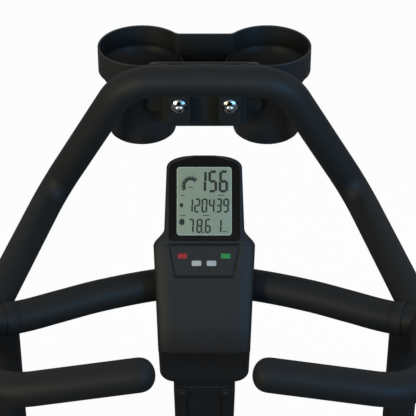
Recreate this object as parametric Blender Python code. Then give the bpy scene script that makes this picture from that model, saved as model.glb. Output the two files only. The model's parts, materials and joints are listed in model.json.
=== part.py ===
"""Upright indoor-cycling exercise bike with a looped multi-grip handlebar.

Metres, +Z up. The rider faces +Y and sits at -Y, with the rider's right hand at +X. The floor is z = 0
and the origin is the middle of the footprint.
"""

import math

import bmesh
import bpy
import numpy as np
from mathutils import Matrix, Vector

# Overall layout
GAP = 0.0003
FOOT_HEIGHT = 0.030
FRONT_Y = 0.520
REAR_Y = -0.576
WHEEL_REACH = 0.062
STABILISER_SIZE = (0.500, 0.060, 0.040)
BASE_RAIL_SIZE = (0.050, 0.040)
BASE_RAIL_OVERHANG = 0.024
WALL = 0.0022

# Drive train
FLYWHEEL_CENTRE = Vector((0.0, 0.40, 0.36))
FLYWHEEL_RADIUS = 0.210
AXLE_RADIUS = 0.010
FLYWHEEL_PULLEY_RADIUS = 0.030
DRIVE_PULLEY_RADIUS = 0.100
BELT_X = 0.081
BELT_WIDTH = 0.012
BELT_THICKNESS = 0.003
CRANK_LENGTH = 0.170
CRANK_ARM_X = 0.108
PEDAL_X = 0.175
PEDAL_SIZE = (0.092, 0.098, 0.024)

# Main beam: a straight box tube in the middle plane
BEAM_HEIGHT = 0.060
BEAM_WIDTH = 0.040
BEAM_FRONT = Vector((0.0, 0.1417, 0.6208))
BEAM_REAR = Vector((0.0, -0.487, 0.1106))
BB_DROP = 0.050
BB_FROM_FRONT = 0.381
BB_RADIUS = 0.022
BB_HALF_WIDTH = 0.036

# Posts and their sleeves
POST_SIZE = (0.040, 0.050)
SLEEVE_SIZE = (0.050, 0.060)
SLEEVE_BORE = (0.0408, 0.0508)
HEAD_Y = 0.172
HEAD_BOTTOM = 0.600
HEAD_TOP = 0.755
SEAT_SLOPE = math.radians(72.0)
SEAT_TOP = Vector((0.0, -0.352, 0.905))
SEAT_SLEEVE_TOP_Z = 0.700
SEAT_POST_BOTTOM_Z = 0.520

# Handlebar, placed from the middle of its cross bar
BAR_CENTRE = Vector((0.0, 0.200, 1.060))
BAR_RADIUS = 0.0175
TOP_BAR_Y = 0.086
TOP_BAR_Z = 0.202

# Cup holder, from the middle of the cross bar
CUP_X = 0.0716
CUP_Y = 0.176
CUP_RIM_Z = 0.198
CUP_RIM_RADIUS = 0.0488
CUP_BODY_RADIUS = 0.0384
CUP_DEPTH = 0.110
CUP_BAND = 0.032
CUP_WALL = 0.0025
TAB_X = 0.028
TAB_WIDTH = 0.0246

# Console: a face that slopes up and away from the rider
FACE_SLOPE = math.radians(50.0)
FACE_ZERO = Vector((0.0, -0.046, 0.026))
CONSOLE_TOP = 0.140
CONSOLE_BOTTOM = -0.0705
CONSOLE_FRONT_DEPTH = 0.012
CONSOLE_BACK_DEPTH = 0.020

# Brake and knob, on a line that points at the flywheel's centre
BRAKE_SLOPE = math.radians(35.0)
BRAKE_KNOB_REACH = 0.455
SHOE_GAP = 0.0085

X_AXIS = Vector((1.0, 0.0, 0.0))
Y_AXIS = Vector((0.0, 1.0, 0.0))
Z_AXIS = Vector((0.0, 0.0, 1.0))


# ---------------------------------------------------------------- materials

def finish(name, colour, roughness, metallic=0.0):
    """A plain Principled material."""
    material = bpy.data.materials.new(name)
    material.use_nodes = True
    shader = material.node_tree.nodes["Principled BSDF"]
    shader.inputs["Base Color"].default_value = (*colour, 1.0)
    shader.inputs["Roughness"].default_value = roughness
    shader.inputs["Metallic"].default_value = metallic
    return material


def make_finishes():
    """Every finish of the machine, by name."""
    return {
        "frame_paint": finish("frame_paint", (0.028, 0.030, 0.032), 0.42, 0.2),
        "post_steel": finish("post_steel", (0.60, 0.61, 0.62), 0.25, 1.0),
        "chrome": finish("chrome", (0.80, 0.82, 0.84), 0.08, 1.0),
        "iron": finish("iron", (0.10, 0.10, 0.11), 0.45, 0.8),
        "grip_coat": finish("grip_coat", (0.020, 0.021, 0.023), 0.62),
        "black_plastic": finish("black_plastic", (0.018, 0.019, 0.021), 0.50),
        "gloss_black": finish("gloss_black", (0.004, 0.004, 0.005), 0.10),
        "cup_plastic": finish("cup_plastic", (0.010, 0.014, 0.018), 0.18),
        "rubber": finish("rubber", (0.020, 0.020, 0.020), 0.80),
        "belt": finish("belt", (0.015, 0.015, 0.015), 0.70),
        "pad": finish("pad", (0.022, 0.022, 0.024), 0.55),
        "red_key": finish("red_key", (0.50, 0.03, 0.03), 0.45),
        "green_key": finish("green_key", (0.05, 0.40, 0.10), 0.45),
        "white_key": finish("white_key", (0.60, 0.60, 0.60), 0.45),
        "board": finish("board", (0.03, 0.18, 0.06), 0.50),
    }


# ---------------------------------------------------------------- shape tools

def add(name, mesh, material, smooth_angle=math.radians(35.0)):
    """An object in the scene made from a mesh."""
    mesh.name = name
    mesh.shade_smooth()
    mesh.set_sharp_from_angle(angle=smooth_angle)
    mesh.materials.clear()
    mesh.materials.append(material)
    made = bpy.data.objects.new(name, mesh)
    bpy.context.scene.collection.objects.link(made)
    return made


def to_mesh(shape, merge=1e-6):
    """A closed mesh with outward faces from a bmesh, which is freed."""
    bmesh.ops.remove_doubles(shape, verts=shape.verts, dist=merge)
    bmesh.ops.recalc_face_normals(shape, faces=shape.faces)
    mesh = bpy.data.meshes.new("shape")
    shape.to_mesh(mesh)
    shape.free()
    return mesh


def frame_of(direction, up=Z_AXIS):
    """A turn whose Z runs along direction and whose X stays level where it can."""
    along = direction.normalized()
    side = up.cross(along)
    if side.length < 1e-6:
        side = X_AXIS.copy()
    side.normalize()
    return Matrix((side, along.cross(side), along)).transposed()


def placed(made, origin, direction=Z_AXIS, up=Z_AXIS):
    """Turns an object's own Z to direction and moves it to origin."""
    made.matrix_world = Matrix.Translation(origin) @ frame_of(direction, up).to_4x4()
    return made


def turned(name, profile, material, origin, direction=Z_AXIS, steps=24, closed=False):
    """A profile of (radius, height) points spun round its own Z."""
    shape = bmesh.new()
    points = [shape.verts.new((radius, 0.0, height)) for radius, height in profile]
    pairs = list(zip(points, points[1:]))
    if closed:
        pairs.append((points[-1], points[0]))
    edges = [shape.edges.new(pair) for pair in pairs]
    bmesh.ops.spin(
        shape,
        geom=points + edges,
        cent=(0.0, 0.0, 0.0),
        axis=(0.0, 0.0, 1.0),
        angle=2.0 * math.pi,
        steps=steps,
        use_merge=True,
        use_duplicate=False,
    )
    return placed(add(name, to_mesh(shape), material), origin, direction)


def rod(name, start, end, radius, material, bore=0.0, steps=20):
    """A round bar, or a tube when it has a bore, between two points."""
    length = (end - start).length
    if bore:
        profile = [(radius, 0.0), (radius, length), (bore, length), (bore, 0.0)]
    else:
        profile = [(0.0, 0.0), (radius, 0.0), (radius, length), (0.0, length)]
    return turned(name, profile, material, start, end - start, steps, bool(bore))


def rounded_rectangle(width, height, radius, corner_steps=2):
    """The corner points of a rounded rectangle, counter-clockwise."""
    points = []
    centres = ((1, 1), (-1, 1), (-1, -1), (1, -1))
    for quarter, (side_x, side_y) in enumerate(centres):
        for step in range(corner_steps + 1):
            angle = math.pi / 2 * (quarter + step / corner_steps)
            x = side_x * (width / 2 - radius) + radius * math.cos(angle)
            y = side_y * (height / 2 - radius) + radius * math.sin(angle)
            points.append(Vector((x, y)))
    return points


def bridge(shape, rings, ends):
    """Quads between rings of vertices. ends is 'cap' to close both ends or 'join' to meet the first ring."""
    loops = rings + [rings[0]] if ends == "join" else rings
    for lower, upper in zip(loops, loops[1:]):
        count = len(lower)
        for i in range(count):
            after = (i + 1) % count
            shape.faces.new((lower[i], lower[after], upper[after], upper[i]))
    if ends == "cap":
        shape.faces.new(list(reversed(rings[0])))
        shape.faces.new(rings[-1])


def box_tube(name, start, end, size, material, wall=0.0, cuts=(None, None), radius=0.006):
    """A rounded box tube from start to end.

    size is its width along X and its depth across. cuts are the normals of the planes that its ends lie in.
    wall is zero for a solid bar.
    """
    axis = (end - start).normalized()
    turn = frame_of(axis)
    if abs(axis.z) > 0.9999:
        turn = Matrix.Identity(3)
    layers = [(size, radius)]
    if wall:
        layers.append(((size[0] - 2 * wall, size[1] - 2 * wall), max(radius - wall, 0.001)))
    shape = bmesh.new()
    rings = []
    for layer, (section, corner) in enumerate(layers):
        outline = [turn @ Vector((p.x, p.y, 0.0)) for p in rounded_rectangle(*section, corner)]
        pair = []
        for point, cut in ((start, cuts[0]), (end, cuts[1])):
            normal = cut or axis
            ring = [point + o - axis * (o.dot(normal) / axis.dot(normal)) for o in outline]
            pair.append([shape.verts.new(corner_point) for corner_point in ring])
        rings += pair if layer == 0 else pair[::-1]
    bridge(shape, rings, "join" if wall else "cap")
    return add(name, to_mesh(shape), material)


def block(name, centre, size, material, bevel=0.0, segments=1):
    """A box with its edges rounded."""
    shape = bmesh.new()
    bmesh.ops.create_cube(shape, size=1.0)
    bmesh.ops.scale(shape, vec=size, verts=shape.verts)
    made = add(name, to_mesh(shape), material)
    made.location = centre
    if bevel:
        soften(made, bevel, segments)
    return made


def soften(made, width, segments):
    """Rounds an object's edges."""
    modifier = made.modifiers.new("rounding", "BEVEL")
    modifier.width = width
    modifier.segments = segments
    modifier.limit_method = "ANGLE"
    modifier.angle_limit = math.radians(40.0)


def helper(made):
    """Leaves an object out of the model, so that it only cuts or adds."""
    made.hide_render = True
    made.display_type = "WIRE"
    return made


def combine(made, other, operation="DIFFERENCE"):
    """Cuts a helper from an object, or adds it with UNION."""
    modifier = made.modifiers.new(operation.lower(), "BOOLEAN")
    modifier.operation = operation
    modifier.object = helper(other)
    modifier.solver = "EXACT"
    return made


def drill(made, start, end, radius, steps=16):
    """Cuts a round hole between two points."""
    cutter = rod(made.name + "_drill", start, end, radius, made.data.materials[0], steps=steps)
    return combine(made, cutter)


def filleted(corners, radii, step=0.20):
    """Points along straight runs whose inner corners are replaced by arcs.

    radii has one value for each inner corner, and step is the greatest turn in radians between points.
    """
    points = [corners[0]]
    for before, corner, after, radius in zip(corners, corners[1:], corners[2:], radii):
        to_before = (before - corner).normalized()
        to_after = (after - corner).normalized()
        turn = math.pi - to_before.angle(to_after)
        reach = radius * math.tan(turn / 2)
        middle = (to_before + to_after).normalized()
        centre = corner + middle * (radius / math.cos(turn / 2))
        arm = corner + to_before * reach - centre
        axis = arm.cross(corner + to_after * reach - centre).normalized()
        count = max(2, math.ceil(turn / step))
        for i in range(count + 1):
            points.append(centre + Matrix.Rotation(turn * i / count, 3, axis) @ arm)
    points.append(corners[-1])
    return points


def bent_bar(name, points, radius, material, resolution=4):
    """A round bar that follows points, made with a bevelled curve."""
    curve = bpy.data.curves.new(name + "_path", "CURVE")
    curve.dimensions = "3D"
    curve.bevel_depth = radius
    curve.bevel_resolution = resolution
    curve.use_fill_caps = True
    spline = curve.splines.new("POLY")
    spline.points.add(len(points) - 1)
    for slot, point in zip(spline.points, points):
        slot.co = (*point, 1.0)
    path = bpy.data.objects.new(name + "_path", curve)
    bpy.context.scene.collection.objects.link(path)
    bpy.context.view_layer.update()
    mesh = bpy.data.meshes.new_from_object(path)
    bpy.data.objects.remove(path)
    shape = bmesh.new()
    shape.from_mesh(mesh)
    return add(name, to_mesh(shape, 1e-5), material)


def mirrored(points):
    """The whole bar from its right half: the left half's points in reverse, then the right half's."""
    left = [Vector((-p.x, p.y, p.z)) for p in reversed(points)]
    return left + points[1:] if points[0].x < 1e-9 else left + points


# ---------------------------------------------------------------- frame

def base(finishes):
    """The two stabilisers, their caps and feet, the transport wheels and the rail between them."""
    paint = finishes["frame_paint"]
    plastic = finishes["black_plastic"]
    length, depth, height = STABILISER_SIZE
    middle_z = FOOT_HEIGHT + height / 2
    for end, y in (("front", FRONT_Y), ("rear", REAR_Y)):
        start = Vector((-length / 2, y, middle_z))
        stop = Vector((length / 2, y, middle_z))
        stabiliser = box_tube(end + "_stabiliser", start, stop, (depth, height), paint, WALL)
        for side, sign in (("left", -1), ("right", 1)):
            foot_x = sign * (length / 2 - 0.045)
            foot = [(0.0, 0.0), (0.019, 0.0), (0.021, 0.004), (0.019, 0.011), (0.006, 0.014),
                    (0.006, FOOT_HEIGHT + 0.012), (0.0, FOOT_HEIGHT + 0.012)]
            turned("foot_" + end + "_" + side, foot, finishes["rubber"], Vector((foot_x, y, 0.0)), steps=16)
            drill(stabiliser, Vector((foot_x, y, FOOT_HEIGHT - 0.01)),
                  Vector((foot_x, y, FOOT_HEIGHT + 0.02)), 0.0066, 12)
            block("end_cap_" + end + "_" + side, Vector((sign * (length / 2 + GAP + 0.007), y, middle_z)),
                  (0.014, depth + 0.006, height + 0.004), plastic, 0.004)
        if end == "front":
            add_wheel_bracket(stabiliser, paint)
    for side, sign in (("left", -1), ("right", 1)):
        start = Vector((sign * 0.150 - 0.012, FRONT_Y + WHEEL_REACH, FOOT_HEIGHT + 0.002))
        wheel = [(0.0045, 0.0), (0.024, 0.0), (0.027, 0.003), (0.027, 0.021), (0.024, 0.024),
                 (0.0045, 0.024)]
        turned("transport_wheel_" + side, wheel, finishes["rubber"], start, X_AXIS, 20, True)
    rail_z = FOOT_HEIGHT + height + GAP + BASE_RAIL_SIZE[1] / 2
    ends = [Vector((0, y, rail_z)) for y in (REAR_Y - BASE_RAIL_OVERHANG, FRONT_Y + BASE_RAIL_OVERHANG)]
    box_tube("base_rail", *ends, BASE_RAIL_SIZE, paint, WALL)


def add_wheel_bracket(stabiliser, paint):
    """Two arms in front of the front stabiliser and the thin bar that the transport wheels turn on."""
    y = FRONT_Y + WHEEL_REACH
    z = FOOT_HEIGHT + 0.002
    inside = FRONT_Y + STABILISER_SIZE[1] / 2 - 0.001
    for x in (-0.120, 0.120):
        arm = block("bracket_arm", Vector((x, (inside + y) / 2, z + 0.008)), (0.008, y - inside, 0.022),
                    paint)
        combine(stabiliser, arm, "UNION")
    bar = rod("wheel_bar", Vector((-0.170, y, z)), Vector((0.170, y, z)), 0.004, paint, steps=12)
    combine(stabiliser, bar, "UNION")


def bottom_bracket():
    """The centre of the crank axle, hung under the main beam."""
    along = (BEAM_REAR - BEAM_FRONT).normalized()
    down = Vector((0.0, -along.z, along.y))
    return BEAM_FRONT + along * BB_FROM_FRONT + down * BB_DROP * (-1 if down.z > 0 else 1)


def forks_and_head(finishes):
    """The sleeve for the handlebar post, the crown in front of it and the two fork legs."""
    paint = finishes["frame_paint"]
    head = box_tube("head_tube", Vector((0, HEAD_Y, HEAD_BOTTOM)), Vector((0, HEAD_Y, HEAD_TOP)),
                    SLEEVE_SIZE, paint, (SLEEVE_SIZE[0] - SLEEVE_BORE[0]) / 2)
    pin_z = HEAD_TOP - 0.032
    back = HEAD_Y - SLEEVE_SIZE[1] / 2
    drill(head, Vector((0, back - 0.01, pin_z)), Vector((0, HEAD_Y, pin_z)), 0.0053)
    crown_low = 0.645
    front = HEAD_Y + SLEEVE_SIZE[1] / 2 - 0.001
    crown = block("crown", Vector((0, (front + 0.335) / 2, crown_low + 0.02)),
                  (0.150, 0.335 - front, 0.040),
                  paint, 0.005)
    combine(head, crown, "UNION")
    for side, sign in (("left", -1), ("right", 1)):
        x = sign * 0.055
        slope = (0.40 - 0.300) / (crown_low - FLYWHEEL_CENTRE.z)
        foot_z = FOOT_HEIGHT + STABILISER_SIZE[2] + GAP
        foot_y = FLYWHEEL_CENTRE.y + slope * (FLYWHEEL_CENTRE.z - foot_z)
        leg = box_tube("fork_" + side, Vector((x, foot_y, foot_z)), Vector((x, 0.300, crown_low - GAP)),
                       (0.025, 0.045), paint, WALL, (Z_AXIS, Z_AXIS))
        drill(leg, Vector((x - 0.03, *FLYWHEEL_CENTRE.yz)), Vector((x + 0.03, *FLYWHEEL_CENTRE.yz)),
              AXLE_RADIUS + GAP)


def brake_axis():
    """A point on the brake's line and its direction away from the flywheel."""
    away = Vector((0.0, -math.cos(BRAKE_SLOPE), math.sin(BRAKE_SLOPE)))
    return FLYWHEEL_CENTRE, away


def beam(finishes):
    """The main beam, the bottom bracket shell under it and the sleeve for the seat post."""
    paint = finishes["frame_paint"]
    made = box_tube("main_beam", BEAM_FRONT, BEAM_REAR, (BEAM_WIDTH, BEAM_HEIGHT), paint, WALL,
                    (Y_AXIS, Z_AXIS))
    origin, away = brake_axis()
    drill(made, origin + away * 0.30, origin + away * 0.45, 0.0095)
    centre = bottom_bracket()
    along = (BEAM_REAR - BEAM_FRONT).normalized()
    up = Vector((0.0, along.z, -along.y))
    lug = block("shell_lug", Vector(), (0.034, 0.036, BB_DROP - BEAM_HEIGHT / 2 + 0.001), paint)
    lug_middle = centre + up * (BB_DROP - BEAM_HEIGHT / 2) / 2
    lug.matrix_world = Matrix.Translation(lug_middle) @ frame_of(up, X_AXIS).to_4x4()
    combine(made, lug, "UNION")
    ends = (centre - X_AXIS * BB_HALF_WIDTH, centre + X_AXIS * BB_HALF_WIDTH)
    combine(made, rod("bottom_bracket_shell", *ends, BB_RADIUS, paint, steps=24), "UNION")
    drill(made, ends[0] - X_AXIS * 0.01, ends[1] + X_AXIS * 0.01, AXLE_RADIUS + GAP)
    seat = Vector((0.0, -math.cos(SEAT_SLOPE), math.sin(SEAT_SLOPE)))
    top_plane = BEAM_FRONT + up * (BEAM_HEIGHT / 2 + GAP)
    reach = (SEAT_TOP - top_plane).dot(up) / seat.dot(up)
    low = SEAT_TOP - seat * reach
    high = SEAT_TOP - seat * ((SEAT_TOP.z - SEAT_SLEEVE_TOP_Z) / seat.z)
    sleeve = box_tube("seat_tube", low, high, SLEEVE_SIZE, paint, (SLEEVE_SIZE[0] - SLEEVE_BORE[0]) / 2,
                      (up, seat))
    forward = Vector((0.0, seat.z, -seat.y))
    pin = high - seat * 0.030
    drill(sleeve, pin, pin + forward * 0.05, 0.0053)


# ---------------------------------------------------------------- drive

def flywheel(finishes):
    """The flywheel with its heavy rim, on an axle that also carries the small pulley."""
    centre = FLYWHEEL_CENTRE
    rim, web = 0.014, 0.006
    outer = FLYWHEEL_RADIUS
    profile = [(AXLE_RADIUS + GAP, -0.030), (0.028, -0.030), (0.030, -0.028), (0.034, -web),
               (outer - 0.055, -web),
               (outer - 0.048, -rim), (outer - 0.003, -rim), (outer, -rim + 0.003)]
    profile += [(radius, -height) for radius, height in reversed(profile)]
    turned("flywheel", profile, finishes["iron"], centre, X_AXIS, 40, True)
    rod("flywheel_axle", centre - X_AXIS * 0.078, centre + X_AXIS * 0.090, AXLE_RADIUS,
        finishes["post_steel"])
    pulley("flywheel_pulley", centre, FLYWHEEL_PULLEY_RADIUS, 0.012, finishes["iron"], 32)


def pulley(name, centre, radius, hub, material, steps):
    """A flat-belt pulley with a flange on each side of the belt."""
    half = BELT_WIDTH / 2 + 0.0005
    lip = 0.0015
    bore = AXLE_RADIUS + GAP
    if hub > 0.02:
        profile = [(bore, -half - lip), (hub, -half - lip), (hub, -0.003), (radius - 0.014, -0.003),
                   (radius - 0.010, -half - lip), (radius + 0.0035, -half - lip), (radius + 0.0035, -half),
                   (radius, -half)]
    else:
        profile = [(bore, -half - lip), (radius + 0.0035, -half - lip), (radius + 0.0035, -half),
                   (radius, -half)]
    profile += [(r, -h) for r, h in reversed(profile)]
    return turned(name, profile, material, centre + X_AXIS * BELT_X, X_AXIS, steps, True)


def belt_outline(first, first_radius, second, second_radius, steps=22):
    """The tight loop round two circles in the YZ plane, as (y, z) points."""
    between = second - first
    heading = math.atan2(between.z, between.y)
    lean = math.acos((first_radius - second_radius) / between.length)
    points = []
    for centre, radius, begin, sweep in (
        (first, first_radius, heading + lean, 2 * math.pi - 2 * lean),
        (second, second_radius, heading - lean, 2 * lean),
    ):
        for i in range(steps + 1):
            angle = begin + sweep * i / steps
            points.append((centre.y + radius * math.cos(angle), centre.z + radius * math.sin(angle)))
    return points


def band(name, outlines, low_x, high_x, material):
    """The wall between an outer and an inner outline in the YZ plane, from low_x to high_x."""
    shape = bmesh.new()
    outer, inner = outlines
    rings = [[shape.verts.new((x, y, z)) for y, z in outline]
             for outline, x in ((outer, low_x), (outer, high_x), (inner, high_x), (inner, low_x))]
    bridge(shape, rings, "join")
    return add(name, to_mesh(shape), material)


def plate(name, outline, low_x, high_x, material):
    """A flat solid in the YZ plane, from low_x to high_x."""
    shape = bmesh.new()
    rings = [[shape.verts.new((x, y, z)) for y, z in outline] for x in (low_x, high_x)]
    bridge(shape, rings, "cap")
    return add(name, to_mesh(shape), material)


def drive(finishes):
    """The crank axle, the large pulley, the belt and the two shells that cover them."""
    low = bottom_bracket()
    high = FLYWHEEL_CENTRE
    rod("crank_axle", low - X_AXIS * (CRANK_ARM_X + 0.008), low + X_AXIS * (CRANK_ARM_X + 0.008),
        AXLE_RADIUS,
        finishes["post_steel"])
    pulley("drive_pulley", low, DRIVE_PULLEY_RADIUS, 0.026, finishes["iron"], 30)
    grown = [belt_outline(low, DRIVE_PULLEY_RADIUS + extra, high, FLYWHEEL_PULLEY_RADIUS + extra, 64)
             for extra in (GAP + BELT_THICKNESS, GAP)]
    band("drive_belt", grown, BELT_X - BELT_WIDTH / 2, BELT_X + BELT_WIDTH / 2, finishes["belt"])
    outer, inner = (belt_outline(low, DRIVE_PULLEY_RADIUS + extra, high, FLYWHEEL_PULLEY_RADIUS + extra, 20)
                    for extra in (0.0170, 0.0145))
    back = plate("cover_inner", outer, 0.0683, 0.0708, finishes["black_plastic"])
    front = plate("cover_outer", outer, 0.0711, 0.0960, finishes["black_plastic"])
    combine(front, plate("cover_hollow", inner, 0.0700, 0.0935, finishes["black_plastic"]))
    for shell in (back, front):
        drill(shell, low + X_AXIS * 0.06, low + X_AXIS * 0.11, 0.016, 20)
    drill(back, high + X_AXIS * 0.06, high + X_AXIS * 0.09, 0.014)


def crank_side(side, sign, finishes):
    """One crank arm with its spindle, and the pedal and toe cage that turn on it."""
    low = bottom_bracket()
    tip = low + Y_AXIS * sign * CRANK_LENGTH
    radii = (0.020, 0.014)
    outline = belt_outline(low, radii[0], tip, radii[1], 10)
    middle = sign * CRANK_ARM_X
    arm = plate("crank_arm_" + side, outline, middle - 0.008, middle + 0.008, finishes["black_plastic"])
    arm.data.materials[0] = finishes["iron"]
    drill(arm, low + X_AXIS * (middle - 0.02), low + X_AXIS * (middle + 0.02), AXLE_RADIUS + GAP)
    spindle_end = sign * (PEDAL_X + PEDAL_SIZE[0] / 2 - 0.006)
    spindle = rod("spindle_" + side, tip + X_AXIS * middle, tip + X_AXIS * spindle_end, 0.006,
                  finishes["post_steel"], steps=12)
    combine(arm, spindle, "UNION")
    centre = tip + X_AXIS * sign * PEDAL_X
    pedal = block("pedal_" + side, centre, PEDAL_SIZE, finishes["black_plastic"], 0.004)
    inner_end = tip + X_AXIS * (sign * (PEDAL_X - PEDAL_SIZE[0] / 2 - 0.01))
    drill(pedal, inner_end, tip + X_AXIS * (spindle_end + sign * 0.0008), 0.0063, 12)
    toe_cage("toe_cage_" + side, centre, finishes["black_plastic"])


def toe_cage(name, centre, material):
    """A strip that runs out from under the pedal, up in front of the toes and back over them."""
    front = PEDAL_SIZE[1] / 2
    under = -PEDAL_SIZE[2] / 2 - GAP
    corners = [Vector((0, front - 0.040, under - 0.0013)), Vector((0, front + 0.030, under - 0.0013)),
               Vector((0, front + 0.026, 0.052)), Vector((0, front - 0.045, 0.068))]
    middle = filleted(corners, (0.016, 0.022), 0.4)
    rings = []
    shape = bmesh.new()
    thickness = 0.0026
    for i, point in enumerate(middle):
        ahead = middle[min(i + 1, len(middle) - 1)] - middle[max(i - 1, 0)]
        normal = Vector((0, -ahead.z, ahead.y)).normalized() * thickness / 2
        rings.append([shape.verts.new(centre + point + normal * side + X_AXIS * x)
                      for x, side in ((-0.030, -1), (0.030, -1), (0.030, 1), (-0.030, 1))])
    bridge(shape, rings, "cap")
    return add(name, to_mesh(shape), material)


# ---------------------------------------------------------------- seat

def seat_direction():
    """The way the seat post points."""
    return Vector((0.0, -math.cos(SEAT_SLOPE), math.sin(SEAT_SLOPE)))


def seat(finishes):
    """The seat post with its head plate, the slider, and the saddle on its clamp."""
    along = seat_direction()
    steel = finishes["post_steel"]
    low = SEAT_TOP - along * ((SEAT_TOP.z - SEAT_POST_BOTTOM_Z) / along.z)
    post = box_tube("seat_post", low, SEAT_TOP, POST_SIZE, steel, WALL, (None, Z_AXIS))
    plate_z = SEAT_TOP.z + 0.003
    head = block("seat_head", Vector((0, SEAT_TOP.y + 0.010, plate_z)), (0.050, 0.170, 0.008), steel, 0.002)
    knob_y = SEAT_TOP.y + 0.068
    drill(head, Vector((0, knob_y, plate_z - 0.02)), Vector((0, knob_y, plate_z + 0.02)), 0.0048, 12)
    combine(post, head, "UNION")
    slider_z = plate_z + 0.004 + GAP + 0.015
    slider = box_tube("slider_rail", Vector((0, SEAT_TOP.y - 0.115, slider_z)),
                      Vector((0, SEAT_TOP.y + 0.125, slider_z)), (0.040, 0.030), steel, WALL)
    combine(slider, block("slider_slot", Vector((0, knob_y, slider_z - 0.014)), (0.0100, 0.100, 0.012),
                          steel))
    knob = [(0.0, -0.030), (0.020, -0.030), (0.023, -0.027), (0.023, -0.012), (0.020, -0.009),
            (0.009, -0.006),
            (0.009, -0.001), (0.0042, -0.001), (0.0042, 0.016), (0.0, 0.016)]
    turned("slider_knob", knob, finishes["black_plastic"], Vector((0, knob_y, plate_z - 0.004 - GAP)))
    top = slider_z + 0.015
    pillar_y = SEAT_TOP.y - 0.010
    pillar = rod("saddle_pillar", Vector((0, pillar_y, top - 0.001)), Vector((0, pillar_y, top + 0.026)),
                 0.011, steel)
    combine(slider, pillar, "UNION")
    clamp_z = top + 0.026 + GAP + 0.012
    clamp = rod("saddle_clamp", Vector((-0.031, pillar_y, clamp_z)), Vector((0.031, pillar_y, clamp_z)),
                0.012,
                finishes["iron"])
    rail_points = saddle_rail_points(pillar_y, clamp_z)
    for sign in (-1, 1):
        drill(clamp, Vector((sign * 0.022, pillar_y - 0.03, clamp_z)),
              Vector((sign * 0.022, pillar_y + 0.03, clamp_z)), 0.0040, 12)
    bent_bar("saddle_rails", rail_points, 0.0035, finishes["chrome"], 2)
    base_z = clamp_z + 0.0285
    saddle_shell("saddle_base", base_z, base_z + 0.010, 0.92, pillar_y, finishes["black_plastic"])
    saddle_shell("saddle_pad", base_z + 0.0103, base_z + 0.058, 1.0, pillar_y, finishes["pad"])


def saddle_rail_points(y, z):
    """The wire rail: from the back left, forward through the clamp, round under the nose and back."""
    rise = 0.0245
    corners = [Vector((-0.045, y - 0.105, z + rise)), Vector((-0.022, y - 0.060, z)),
               Vector((-0.022, y + 0.055, z)), Vector((-0.016, y + 0.115, z + 0.021)),
               Vector((0.016, y + 0.115, z + 0.021)), Vector((0.022, y + 0.055, z)),
               Vector((0.022, y - 0.060, z)), Vector((0.045, y - 0.105, z + rise))]
    return filleted(corners, (0.030, 0.040, 0.010, 0.010, 0.040, 0.030), 0.5)


def saddle_shell(name, low, high, scale, middle_y, material):
    """A closed pad with the plan of a wide saddle: broad at the back and narrow at the nose."""
    rows = 13
    shape = bmesh.new()
    rings = []
    for level, inset in ((low, 0.90), (low + (high - low) * 0.35, 1.0), (low + (high - low) * 0.8, 0.95),
                         (high, 0.72)):
        right = []
        for i in range(rows):
            t = i / (rows - 1)
            y = -0.135 + 0.270 * t
            width = 0.022 + 0.083 / (1 + math.exp((t - 0.42) * 11.0))
            end = math.sqrt(max(0.0, 1 - (2 * t - 1) ** 8))
            right.append((width * end * inset * scale, y * (0.97 + 0.03 * inset) * scale))
        outline = right + [(-x, y) for x, y in reversed(right[1:-1])]
        rings.append([shape.verts.new((x, middle_y + y, level)) for x, y in outline])
    bridge(shape, rings, "cap")
    return add(name, to_mesh(shape), material)


def pull_pin(name, tip, outward, finishes):
    """A sprung pin with a round head, in a sleeve's wall."""
    profile = [(0.0, 0.0), (0.0050, 0.0), (0.0050, 0.0062), (0.011, 0.0066), (0.011, 0.020), (0.007, 0.022),
               (0.007, 0.032), (0.019, 0.035), (0.021, 0.039), (0.019, 0.048), (0.0, 0.050)]
    return turned(name, profile, finishes["black_plastic"], tip, outward, 20)


def pins(finishes):
    """The two pull pins that lock the posts."""
    bar_tip = Vector((0, HEAD_Y - POST_SIZE[1] / 2 - 0.0009, HEAD_TOP - 0.032))
    pull_pin("bar_pin", bar_tip, -Y_AXIS, finishes)
    along = seat_direction()
    high = SEAT_TOP - along * ((SEAT_TOP.z - SEAT_SLEEVE_TOP_Z) / along.z)
    forward = Vector((0.0, along.z, -along.y))
    pull_pin("seat_pin", high - along * 0.030 + forward * (POST_SIZE[1] / 2 + 0.0009), forward, finishes)


def brake(finishes):
    """The brake shoe above the flywheel, the rod that presses it and the knob on the rod."""
    origin, away = brake_axis()
    shoe_low = origin + away * (FLYWHEEL_RADIUS + SHOE_GAP)
    turned("brake_shoe", [(0.0, 0.0), (0.016, 0.0), (0.018, 0.003), (0.018, 0.018), (0.013, 0.030),
                          (0.0068, 0.030), (0.0068, 0.012), (0.0, 0.012)],
           finishes["rubber"], shoe_low, away)
    rod_low = shoe_low + away * 0.0170
    rod_high = origin + away * BRAKE_KNOB_REACH
    rod("brake_rod", rod_low, rod_high, 0.006, finishes["chrome"], steps=16)
    knob = [(0.0, 0.0008), (0.0065, 0.0008), (0.0065, -0.018), (0.014, -0.018), (0.016, -0.010),
            (0.026, -0.006),
            (0.028, 0.000), (0.027, 0.018), (0.022, 0.024), (0.0, 0.025)]
    turned("resistance_knob", knob, finishes["black_plastic"], rod_high, away, 24)


# ---------------------------------------------------------------- handlebar

def bar_point(x, y, z):
    """A point given in millimetres from the middle of the cross bar."""
    return BAR_CENTRE + Vector((x, y, z)) / 1000.0


def loop_points():
    """The right half of the looped bar, from the middle of the top bar down to the near grip's end."""
    corners = [bar_point(0, TOP_BAR_Y * 1000, TOP_BAR_Z * 1000), bar_point(85, 83, 202),
               bar_point(174, 122, 38),
               bar_point(231, -82, 5), bar_point(237, -210.5, 9), bar_point(66, -209, 36)]
    return filleted(corners, (0.050, 0.036, 0.120, 0.066), 0.24)


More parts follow.
